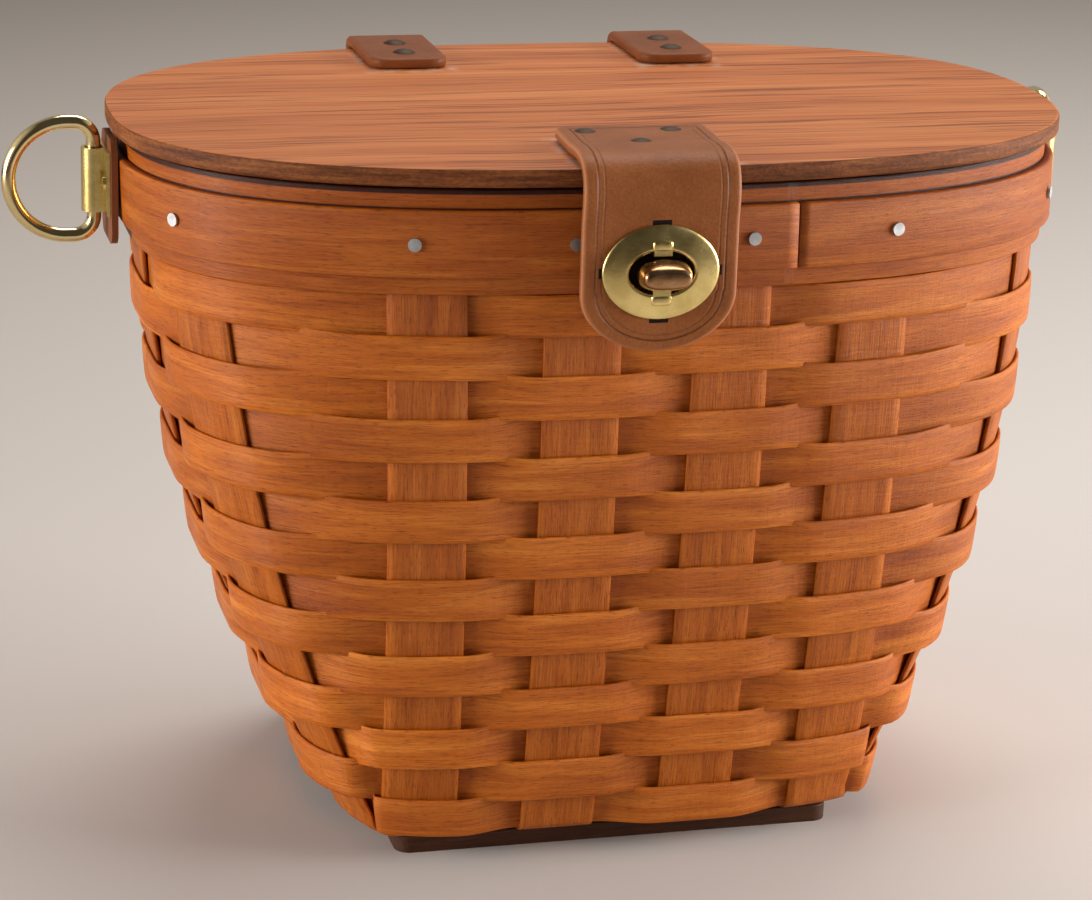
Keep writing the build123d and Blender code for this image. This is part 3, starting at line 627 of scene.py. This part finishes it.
for row in range(1, rows + 1):
    make_weaver(row)


# stakes
stake_section = splint_section(stake_width, stake_thickness, crown=0.02, edge=0.3)


def stake_rings(stake, levels_up, sag_seed):
    """Rings of one side of a strip on the wall, from the foot up."""
    rings = []
    ripple = wave(sag_seed, (5, 9, 14), 0.04)
    for z in levels_up:
        wall = level(z)
        centre = wall.between(stake, 0.0)
        ring = []
        for across, out in stake_section:
            ring.append(wall.at(centre + across, out + ripple(z / 170))[0])
        rings.append(ring)
    return rings


def fold(stake, inboard, sideways, mirror):
    """Rings that turn one end of a strip from the mat up onto the wall's own outline."""
    foot = level(weave_bottom + fold_rise)
    centre = foot.between(stake, 0.0)
    rings = []
    for share in [step / 8 for step in range(1, 8)]:
        ring = []
        for across, out in stake_section:
            wall_point, normal = foot.at(centre + (-across if mirror else across), out)
            corner = wall_point + normal * out * 0.4
            corner.z = mat_level - out
            inner = inboard + sideways * across - Vector((0, 0, out))
            near = inner.lerp(corner, share)
            far = corner.lerp(wall_point, share)
            ring.append(near.lerp(far, share))
        rings.append(ring)
    return rings


def mirrored(ring):
    """The same section with its two edges exchanged, which starts at its ninth point."""
    return [ring[(8 - j) % len(ring)] for j in range(len(ring))]


def mat_middle(place, along, sideways, side_value, crossings):
    """The strip's middle line where it runs over and under the others in the mat."""
    lift = 0.0
    for spot, height in crossings:
        lift += height * smooth(min(1.0, max(0.0, (17 - abs(place - spot)) / 6.5)))
    return along * place + sideways * side_value + Vector((0, 0, mat_level + lift))


def strip(name, first, last, along, crossings, side_value):
    """A strip down one wall, across the mat and up the other wall."""
    sideways = Vector((along.y, -along.x, 0))
    reach = (foot_length if along.x else foot_depth) / 2 - fold_inboard
    heights = [weave_bottom + fold_rise + i * 3.4 for i in range(50)]
    heights = [z for z in heights if z < rim_top - 2.5] + [rim_top - 1.2]
    parts = []
    for stake, sign in ((first, -1), (last, 1)):
        wall = stake_rings(stake, heights, 5 + stake)
        mirror = (wall[0][7] - wall[0][0]).dot(sideways) < 0
        if mirror:
            wall = [mirrored(ring) for ring in wall]
        inboard = mat_middle(reach * sign, along, sideways, side_value, crossings)
        parts.append(fold(stake, inboard, sideways, mirror) + wall)
    flat = []
    for i in range(61):
        centre = mat_middle(reach * (2 * i / 60 - 1), along, sideways, side_value, crossings)
        flat.append([centre + sideways * across - Vector((0, 0, out)) for across, out in stake_section])
    rings = parts[0][::-1] + flat + parts[1]
    grain, tint = [], []
    run = 0.0
    tone = rng.uniform(0.42, 0.6)
    for i, ring in enumerate(rings):
        if i:
            run += (ring[4] - rings[i - 1][4]).length
        for across, out in stake_section:
            grain.append((run, across + out, side_value * 3.0 + (31.0 if along.x else 7.0)))
            # painted highlight: the strip's edges are lighter
            tint.append(tone + (0.2 if abs(across) > stake_width * 0.48 else 0.0))
    mesh = skin(name, rings, False, grain, tint)
    new_object(f"upright_{name}", mesh, stake_wood, "basket", [name])


def crossing_levels(number, count, pitch, first_sign):
    """Where a strip crosses the others in the mat, and whether it is over or under."""
    spots = []
    for other in range(count):
        sign = first_sign if (number + other) % 2 == 0 else -first_sign
        spots.append(((other - (count - 1) / 2) * pitch, sign * mat_lift))
    return spots


for number in range(4):
    strip(
        f"cross_stake_{number + 1}",
        2 + number,
        12 - number,
        Vector((0, 1, 0)),
        crossing_levels(number, 3, long_pitch_foot, 1),
        (number - 1.5) * cross_pitch_foot,
    )
for number in range(3):
    strip(
        f"long_stake_{number + 1}",
        (1, 0, 13)[number],
        6 + number,
        Vector((1, 0, 0)),
        crossing_levels(number, 4, cross_pitch_foot, -1),
        -(number - 1) * long_pitch_foot,
    )


# rim bands
band_steps = 240
band_edge = 0.45


def band(name, low, high, offset, thickness, node_name, seed, seam=0.0, painted_shade_spans=()):
    """A steamed band round the rim.

    A seam is the gap where its end stops, and the listed spans of its height are painted near-black as
    shade in the crevices.
    """
    tall, edge = high - low, band_edge
    face = {edge: thickness, tall / 2: thickness + 0.06, tall - edge: thickness}
    for bottom_of, top_of in painted_shade_spans:
        for up in (bottom_of - 0.3, bottom_of, top_of, top_of + 0.3):
            if edge < up < tall - edge:
                face[up] = thickness + 0.03
    section = [(0.0, 0.0), (0.0, thickness - edge), (edge * 0.35, thickness - edge * 0.3)]
    section += sorted(face.items())
    section += [
        (tall - edge * 0.35, thickness - edge * 0.3),
        (tall, thickness - edge),
        (tall, 0.0),
        (tall / 2, 0.0),
    ]
    bottom, top = level(low), level(high)
    bottom_start = bottom.front_arc(band_seam_x) + seam / 2
    top_start = top.front_arc(band_seam_x) + seam / 2
    wobble = wave(seed, (2, 3, 5), 0.07)
    tone = wave(seed + 1, (1, 2, 4), 0.05)
    rings, grain, tint = [], [], []
    for share in [i / band_steps for i in range(band_steps + 1 if seam else band_steps)]:
        ring = []
        for up, out in section:
            low_point, normal = bottom.at(bottom_start + share * (bottom.length - seam), offset + out)
            high_point, _ = top.at(top_start + share * (top.length - seam), offset + out)
            point = low_point.lerp(high_point, up / tall)
            point.z += wobble(share)
            ring.append(point)
            grain.append((share * bottom.length, up + out, seed * 5.0))
            # painted highlight: the band's top and bottom edges are lighter; its inner face is painted
            # darker as shade
            wear_and_edge_highlight = 0.16 if abs(up - tall / 2) > tall / 2 - edge * 0.5 else 0.0
            shade = 0.5 + tone(share) + wear_and_edge_highlight - (0.12 if out < 0.2 else 0.0)
            # painted shade: the listed spans of the height are near-black
            in_painted_shade = any(bottom_of <= up <= top_of for bottom_of, top_of in painted_shade_spans)
            tint.append(0.0 if in_painted_shade else shade)
        rings.append(ring)
    mesh = skin(name, rings, not seam, grain, tint)
    new_object(name, mesh, rim_wood, "basket", [node_name])


band_low = weave_top + 0.1
band("band_inside", band_low, rim_top, inner_offset, inner_band_thickness, "rim_inner_band", 41)
# the dark lines of painted shade where the narrow band's top edge and the lid meet the wide band
lip = outer_top - band_low
crevices = [(lip - 1.0, lip + 0.2), (rim_top - band_low - 1.2, math.inf)]
under = (under_offset, under_band_thickness)
band("band_under", band_low, rim_top, *under, "rim_under_band", 43, painted_shade_spans=crevices)
outer = (outer_offset, outer_band_thickness)
band("band_outside", outer_bottom, outer_top, *outer, "rim_outer_band", 47, band_seam_width)


# lid
def make_lid():
    count = 360
    _, x, y, nx, ny = oval(lid_length / 2, lid_depth / 2, lid_squareness, count)
    # inset and height of each ring, from the underside's edge up to the top's
    profile = [
        (3.2, lid_bottom),
        (1.3, lid_bottom + 0.35),
        (0.5, lid_bottom + 0.7),
        (0.1, lid_bottom + 1.1),
        (0.0, lid_bottom + 1.5),
        (0.0, lid_top - 0.9),
        (0.07, lid_top - 0.45),
        (0.30, lid_top - 0.1),
        (0.75, lid_top),
    ]
    points, faces = [], []
    for inset, z in profile:
        for i in range(count):
            points.append((x[i] - nx[i] * inset, y[i] - ny[i] * inset, z))
    for p in range(len(profile) - 1):
        for i in range(count):
            k = (i + 1) % count
            faces.append((p * count + i, p * count + k, (p + 1) * count + k, (p + 1) * count + i))
    rim_faces = len(faces)
    last = (len(profile) - 1) * count
    faces.append(tuple(last + i for i in range(count)))
    faces.append(tuple(reversed(range(count))))
    mesh = mesh_from("lid", points, faces)
    for index, poly in enumerate(mesh.polygons):
        poly.use_smooth = index < rim_faces
        if index < rim_faces - count:
            poly.material_index = 1
    new_object("lid_board", mesh, [lid_wood, lid_edge], "lid", ["lid"])


make_lid()


# leather
def leather_strip(name, size, corners, place, round_end=False, hole=None):
    """A cut strip of a length, width and thickness, with corner radii at its start and end.

    place(s, x) gives the middle point and the normal at a spot of the flat cut. A hole is an
    oval given as its place along the strip and its two half sizes.
    """
    length, width, thickness = size
    start_corner, end_corner = corners

    def half_width(s):
        for d, r in ((s, start_corner), (length - s, end_corner)):
            if d < r and round_end and r == end_corner:
                return width / 2 * math.sqrt(max(0.01, 1 - ((r - d) / r) ** 2))
            if d < r:
                return width / 2 - r + math.sqrt(max(0.0, r * r - (r - d) ** 2))
        return width / 2

    def edge_distance(s, x):
        best = min(s, length - s, width / 2 - abs(x))
        for d, r in ((s, start_corner), (length - s, end_corner)):
            inner = width / 2 - r
            if d < r and round_end and r == end_corner:
                best = (1 - math.hypot((r - d) / r, 2 * x / width)) * (r + 3)
            elif d < r and abs(x) > inner:
                best = r - math.hypot(r - d, abs(x) - inner)
        return max(0.0, best)

    lengths = [0, 0.25, 0.7, 1.3]
    lengths += [1.3 + (length - 2.6) * i / 96 for i in range(1, 96)]
    lengths += [length - 1.3, length - 0.7, length - 0.25, length]
    shares = [-1, -0.985, -0.95, -0.9]
    shares += [-0.9 + 1.8 * i / 40 for i in range(1, 40)]
    shares += [0.9, 0.95, 0.985, 1]
    lines, columns = len(lengths), len(shares)
    grid = [[(s, share * half_width(s)) for share in shares] for s in lengths]

    def off_hole(s, x):
        return math.hypot((s - hole[0]) / hole[2], x / hole[1])

    kept = set()
    for i in range(lines - 1):
        for j in range(columns - 1):
            (s0, x0), (s1, x1) = grid[i][j], grid[i + 1][j + 1]
            if not hole or off_hole((s0 + s1) / 2, (x0 + x1) / 2) > 1:
                kept.add((i, j))
    for i in range(1, lines - 1):
        for j in range(1, columns - 1):
            around = sum(cell in kept for cell in ((i, j), (i - 1, j), (i, j - 1), (i - 1, j - 1)))
            if 0 < around < 4:
                s, x = grid[i][j]
                off = off_hole(s, x)
                grid[i][j] = (hole[0] + (s - hole[0]) / off, x / off)
    points, flat = [], []
    for face in (1, -1):
        for i in range(lines):
            for s, x in grid[i]:
                d = edge_distance(s, x)
                rounding = 0.55 * max(0.0, 1 - d / 0.9) ** 2
                middle, normal = place(s, x)
                points.append(middle + normal * face * (thickness / 2 - rounding))
                flat.append((x, s, d if face > 0 else 2.0))
    half = lines * columns
    faces = []
    for i, j in sorted(kept):
        a = i * columns + j
        square = [a, a + columns, a + columns + 1, a + 1]
        beyond = [(i, j - 1), (i + 1, j), (i, j + 1), (i - 1, j)]
        faces.append(tuple(square))
        faces.append(tuple(half + corner for corner in reversed(square)))
        for k in range(4):
            if beyond[k] not in kept:
                p, q = square[k], square[(k + 1) % 4]
                faces.append((q, p, half + p, half + q))
    used = sorted({corner for face in faces for corner in face})
    number = {old: new for new, old in enumerate(used)}
    faces = [tuple(number[corner] for corner in face) for face in faces]
    points = [points[old] for old in used]
    flat = [flat[old] for old in used]
    return mesh_from(name, points, faces, grain=flat)


strap_middle = lid_top + leather_gap + strap_rise + strap_thickness / 2
strap_front_y = -lid_depth / 2
strap_hang_y = strap_front_y - strap_standoff - strap_thickness / 2
strap_end_z = lid_top - strap_drop


def strap_line():
    """The strap's middle line in (y, z), from its rear edge over the lid's edge to its end."""
    line = [(strap_front_y + strap_on_lid, strap_middle)]
    for i in range(13):
        share = i / 12
        y = strap_front_y + 15 - (15 - bend_start) * share
        line.append((y, strap_middle + strap_arch * smooth(share)))
    across = strap_front_y + bend_start - strap_hang_y
    for i in range(1, 33):
        turn = math.pi / 2 * i / 32
        reach = (math.cos(turn) ** bend_power + math.sin(turn) ** bend_power) ** (-1 / bend_power)
        y = strap_front_y + bend_start - across * math.sin(turn) * reach
        line.append((y, strap_middle + strap_arch - bend_fall * (1 - math.cos(turn) * reach)))
    return line + [(strap_hang_y, strap_end_z)]


strap_path = strap_line()
strap_runs = [0.0]
for (y0, z0), (y1, z1) in zip(strap_path, strap_path[1:]):
    strap_runs.append(strap_runs[-1] + math.hypot(y1 - y0, z1 - z0))
strap_length = strap_runs[-1]
strap_bend_end = strap_runs[-2]
strap_skew = 2.0


def strap_spot(s):
    return [float(np.interp(s, strap_runs, values)) for values in zip(*strap_path)]


def strap_place(s, x):
    y, z = strap_spot(s)
    before, after = strap_spot(max(0.0, s - 0.6)), strap_spot(min(strap_length, s + 0.6))
    dy, dz = after[0] - before[0], after[1] - before[1]
    skew = strap_skew * max(0.0, 1 - s / strap_bend_end)
    return Vector((strap_offset + skew + x, y, z)), Vector((0, dz, -dy)).normalized()


lock_run = strap_length - (lock_height - strap_end_z)
strap_leather = leather(
    "strap_leather",
    (0.235, 0.074, 0.022),
    (0.315, 0.106, 0.034),
    (0.40, 0.160, 0.072),
    creases=[(3.2, 0.8), (4.8, 0.3)],
    painted_shadow_boxes=[((0, lock_run), (2.3, 12.4)), ((0, lock_run), (15.0, 1.2)), ((0, lock_run), (9.0, 6.3))],
)
mesh = leather_strip(
    "strap",
    (strap_length, strap_width, strap_thickness),
    (strap_rear_corner, strap_end_corner),
    strap_place,
    round_end=True,
    hole=(lock_run, window_length / 2 + prong_thickness, window_height / 2 + prong_thickness),
)
strap = new_object("strap_leather_piece", mesh, strap_leather, None, ["front_strap"])
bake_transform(strap)


# the lid's edge at the inner side of a hinge
hinge_reach = (hinge_spacing - hinge_width) / lid_length
hinge_edge_y = lid_depth / 2 * (1 - hinge_reach**lid_squareness) ** (1 / lid_squareness)
hinge_top = lid_top + leather_gap
hinge_bend = hinge_standoff + hinge_thickness / 2
hinge_arc = hinge_bend * math.pi / 2
hinge_leg_top = hinge_top - hinge_standoff
hinge_end = outer_bottom + leather_gap
hinge_length = hinge_on_lid + hinge_arc + hinge_leg_top - hinge_end


def band_face_y(x, z, lift):
    half_length, half_depth, n = wall_outline(z)
    y = half_depth * (1 - abs(x / half_length) ** n) ** (1 / n)
    nx = abs(x / half_length) ** (n - 1) / half_length
    ny = abs(y / half_depth) ** (n - 1) / half_depth
    return y + lift * ny / math.hypot(nx, ny)


for side, label in ((-1, "left"), (1, "right")):

    def hinge_place(s, x, side=side):
        across = side * hinge_spacing / 2 - x
        if s < hinge_on_lid:
            y = hinge_edge_y - hinge_on_lid + s
            return Vector((across, y, hinge_top + hinge_thickness / 2)), Vector((0, 0, 1))
        if s < hinge_on_lid + hinge_arc:
            turn = (s - hinge_on_lid) / hinge_bend
            y = hinge_edge_y + hinge_bend * math.sin(turn)
            z = hinge_top - hinge_standoff + hinge_bend * math.cos(turn)
            return Vector((across, y, z)), Vector((0, math.sin(turn), math.cos(turn)))
        z = hinge_leg_top - (s - hinge_on_lid - hinge_arc)
        share = smooth(min(1.0, (hinge_leg_top - z) / 9.0))
        on_band = max(outer_bottom, min(outer_top, z))
        resting = band_face_y(across, on_band, outer_face + leather_gap + hinge_thickness / 2)
        y = (hinge_edge_y + hinge_bend) * (1 - share) + resting * share
        return Vector((across, y, z)), Vector((0, 1, 0))

    hinge_size = (hinge_length, hinge_width, hinge_thickness)
    mesh = leather_strip(f"hinge_{label}", hinge_size, (hinge_corner, hinge_corner), hinge_place)
    hinge = new_object(
        f"hinge_leather_{label}", mesh, hinge_leather, None, [f"hinge_strap_{label}"]
    )
    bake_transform(hinge)


# lock
def oval_piece(name, profile, centre, used, body, stands_for=(), closed=False, count=72):
    """Oval rings of (half length, half height, out, power) set one after another along -Y."""
    rings = []
    for half_x, half_z, out, power in profile:
        ring = []
        for i in range(count):
            turn = -2 * math.pi * i / count
            c, s = math.cos(turn), math.sin(turn)
            x = half_x * math.copysign(abs(c) ** (2 / power), c)
            z = half_z * math.copysign(abs(s) ** (2 / power), s)
            ring.append(Vector((centre[0] + x, centre[1] - out, centre[2] + z)))
        rings.append(ring)
    mesh = skin(name, rings, closed)
    mesh.set_sharp_from_angle(angle=math.radians(50))
    new_object(name, mesh, used, body, stands_for)


strap_outer_y = strap_front_y - strap_standoff - strap_thickness
face_back_y = strap_outer_y - leather_gap / 2
plate_x, plate_z = plate_length / 2, plate_height / 2
window_x, window_z = window_length / 2, window_height / 2
# the face plate rises from its edge to its window, and closes on itself behind
plate_profile = [
    (plate_x, plate_z, 0.0, 2),
    (plate_x, plate_z, 0.35, 2),
    (plate_x - 0.25, plate_z - 0.25, 0.62, 2),
    (plate_x - 0.8, plate_z - 0.8, 0.78, 2),
    (plate_x - 2.2, plate_z - 2.0, 0.98, 2),
    (plate_x - 4.0, plate_z - 3.6, 1.22, 2),
    (window_x + 1.0, window_z + 1.0, 1.46, 2),
    (window_x + 0.45, window_z + 0.45, 1.50, 2),
    (window_x + 0.12, window_z + 0.12, 1.32, 2),
    (window_x, window_z, 0.9, 2),
    (window_x, window_z, 0.0, 2),
]
plate_centre = (strap_offset, face_back_y, lock_height)
oval_piece(
    "lock_plate", plate_profile, plate_centre, brass, "strap", ["lock_face_plate"], closed=True
)

prong_profile = [
    (2.5, 1.45, 0.0, 4),
    (2.5, 1.45, 0.35, 4),
    (2.35, 1.3, 0.75, 4),
    (1.9, 0.95, 0.95, 4),
    (1.2, 0.5, 1.0, 4),
]
for side, label in ((-1, "low"), (1, "high")):
    prong_centre = (strap_offset, face_back_y - 0.95, lock_height + side * 6.5)
    oval_piece(f"prong_{label}", prong_profile, prong_centre, brass, "strap", count=40)

# the throat is near-black, painted as the shade inside the window
throat_profile = [
    (window_x + 0.75, window_z + 0.75, 0.0, 2),
    (window_x, window_z, 0.0, 2),
    (window_x, window_z, -2.6, 2),
    (window_x + 0.75, window_z + 0.75, -2.6, 2),
]
oval_piece("lock_throat", throat_profile, plate_centre, painted_shade_brass, "strap", closed=True)

knob_profile = [
    (1.7, 1.7, -10.05, 2),
    (2.4, 2.4, -9.6, 2),
    (2.5, 2.5, -9.0, 2),
    (2.5, 2.5, 0.0, 2),
    (5.6, 2.9, 0.0, 2.4),
    (6.35, 3.6, 0.25, 2.5),
    (6.5, 3.8, 0.8, 2.5),
    (6.45, 3.65, 1.8, 2.6),
    (6.2, 3.2, 3.2, 2.8),
    (5.85, 2.6, 4.5, 3),
    (5.55, 2.15, 5.2, 3.2),
    (5.1, 1.7, 5.52, 3.2),
    (4.4, 1.25, 5.6, 3.2),
]
knob_base_y = -84.6
knob_centre = (strap_offset, knob_base_y, lock_height)
oval_piece("lock_knob", knob_profile, knob_centre, bronze, "turn_button", ["turn_button"])


# rings
def tube(path, radius):
    """A round wire along a closed path in the XZ plane."""
    count = 20
    rings = []
    for i, point in enumerate(path):
        along = (path[(i + 1) % len(path)] - path[i - 1]).normalized()
        side = along.cross(Vector((0, 1, 0))).normalized()
        up = side.cross(along)
        turns = [2 * math.pi * j / count for j in range(count)]
        rings.append([point + radius * (side * math.cos(t) + up * math.sin(t)) for t in turns])
    return rings


ring_wire, ring_inside, ring_depth, ring_corner = 3.6, 25.0, 24.5, 5.0
ring_half = ring_inside / 2 + ring_wire / 2
bow_centre = ring_depth - ring_wire - ring_half


def arc(x, z, radius, start, sweep, count):
    turns = [start + sweep * i / count for i in range(count)]
    return [(x + radius * math.cos(t), z + radius * math.sin(t)) for t in turns]


def ring_path():
    """The D's wire in its own plane, from the foot of the bar upward."""
    straight = ring_half - ring_corner
    spots = [(0, -straight + 2 * straight * i / 16) for i in range(16)]
    spots += arc(ring_corner, straight, ring_corner, math.pi, -math.pi / 2, 10)
    spots += arc(bow_centre, 0, ring_half, math.pi / 2, -math.pi, 40)
    spots += arc(ring_corner, -straight, ring_corner, -math.pi / 2, -math.pi / 2, 10)
    return spots


ring_axis = 125.86
# the left ring stands out to the left, the right one is swung to the back
for side, label, swing in ((-1, "left", 0.0), (1, "right", -math.pi / 2)):
    centre = Vector((side * ring_axis, 0, ring_level))
    path = [Vector((-r, 0, h)) for r, h in ring_path()]
    spin = Matrix.Rotation(swing, 3, "Z")
    rings = [[spin @ p + centre for p in ring] for ring in tube(path, ring_wire / 2)]
    mesh = skin(f"ring_{label}", rings, True)
    new_object(f"ring_wire_{label}", mesh, ring_brass, f"ring_{label}", [f"d_ring_{label}"])


# kept nodes
def paint(used, *names):
    for name in names:
        obj = nodes[name]
        if not obj.data.materials:
            obj.data.materials.append(None)
        for slot in obj.material_slots:
            slot.link = "OBJECT"
            slot.material = used


paint(brass, "lock_backing", "ring_keeper_left", "ring_keeper_right")
paint(brass, "keeper_rivets_left", "keeper_rivets_right")
# the lock's base plate, screws and washer are near-black, painted as the shade inside the window
paint(painted_shade_brass, "lock_base_plate", "lock_base_screws", "button_washer")
paint(rivet_metal, "hinge_lid_rivets", "hinge_rim_rivets", "strap_rivets")
paint(pad_leather, "ring_pad_left", "ring_pad_right")
paint(zinc, "rim_tacks")
paint(board_wood, "base_board")


# stage
def stage_floor():
    """A pale floor in metres, with painted shade that darkens it to the left, towards the back and in
    front.
    """
    mat, tree, shader = material("floor")
    x, y, _ = parts_of(tree, object_place(tree))
    # painted shade: darker to the left and towards the back
    across = span(tree, x, -0.6, 0.5)
    pale = [(0.6, (0.63, 0.585, 0.555)), (1.0, (0.63, 0.595, 0.57))]
    near = ramp(tree, across, [(0.0, (0.38, 0.345, 0.315))] + pale)
    far = ramp(tree, across, [(0.0, (0.21, 0.178, 0.152)), (1.0, (0.32, 0.28, 0.245))])
    colour = mix(tree, "MIX", span(tree, y, 0.0, 1.35), near, far)
    # painted shade in front, which also darkens the brass's reflection of the floor
    colour = mix(tree, "MIX", span(tree, y, -0.42, -0.85), colour, (0.14, 0.11, 0.09))
    surface(tree, shader, colour, 0.9, 0.1)
    mesh = bpy.data.meshes.new("floor")
    half = 6.0
    corners = [(-half, -half, 0), (half, -half, 0), (half, half, 0), (-half, half, 0)]
    mesh.from_pydata(corners, [], [(0, 1, 2, 3)])
    new_object("floor", mesh, mat, None)


def studio_world():
    """A dim room: pale to both sides and behind the object, dark in front and above."""
    world = bpy.data.worlds.new("studio")
    bpy.context.scene.world = world
    world.use_nodes = True
    tree = world.node_tree
    x, y, _ = parts_of(tree, node(tree, "ShaderNodeTexCoord").outputs["Generated"])
    side = span(tree, calc(tree, "ABSOLUTE", x), 0.45, 0.85, 0.07, 0.85)
    light = calc(tree, "ADD", side, span(tree, y, 0.0, 0.8, 0.0, 0.35))
    shader = tree.nodes["Background"]
    shader.inputs["Color"].default_value = (0.88, 0.84, 0.80, 1)
    tree.links.new(light, shader.inputs["Strength"])


stage_floor()
studio_world()


def softbox(name, place, target, size, power):
    light = bpy.data.lights.new(name, "AREA")
    light.shape = "RECTANGLE"
    light.size, light.size_y = size
    light.energy = power
    light.color = (1, 0.97, 0.93)
    lamp = bpy.data.objects.new(name, light)
    bpy.context.scene.collection.objects.link(lamp)
    lamp.location = place
    lamp.rotation_euler = (Vector(target) - Vector(place)).to_track_quat("-Z", "Y").to_euler()


softbox("left", (-1.26, -0.22, 0.32), (0, 0, 0.09), (0.7, 0.6), 15.5)
softbox("right", (1.22, -0.30, 0.30), (0, 0, 0.09), (0.8, 0.7), 25.0)
softbox("top", (0.30, 0.55, 1.30), (0, 0, 0.1), (1.0, 0.7), 11.5)

# camera: angles in degrees, distance and target height in mm, the rest in pixels
azimuth, elevation, roll = (math.radians(v) for v in (-15.179, 17.664, 1.889))
distance, focal, centre_x, centre_y, target_z = 883.48, 3351.74, 576.15, 444.47, 89.77
image_width, image_height = 1092, 900
sensor_width = 36
flat_reach = math.cos(elevation)
back = Vector(
    (math.sin(azimuth) * flat_reach, -math.cos(azimuth) * flat_reach, math.sin(elevation))
)
right = (-back).cross(Vector((0, 0, 1))).normalized()
up = right.cross(-back)
right_rolled = right * math.cos(roll) + up * math.sin(roll)
up_rolled = up * math.cos(roll) - right * math.sin(roll)
camera_data = bpy.data.cameras.new("camera")
camera_data.sensor_width = sensor_width
camera_data.lens = focal / image_width * sensor_width
camera_data.shift_x = (image_width / 2 - centre_x) / image_width
camera_data.shift_y = (centre_y - image_height / 2) / image_width
camera_data.clip_start = 0.01
camera = bpy.data.objects.new("camera", camera_data)
bpy.context.scene.collection.objects.link(camera)
axes = Matrix((right_rolled, up_rolled, back)).transposed().to_4x4()
camera.matrix_world = Matrix.Translation((back * distance + Vector((0, 0, target_z))) * MM) @ axes
bpy.context.scene.camera = camera
bpy.context.scene.view_settings.view_transform = "Standard"
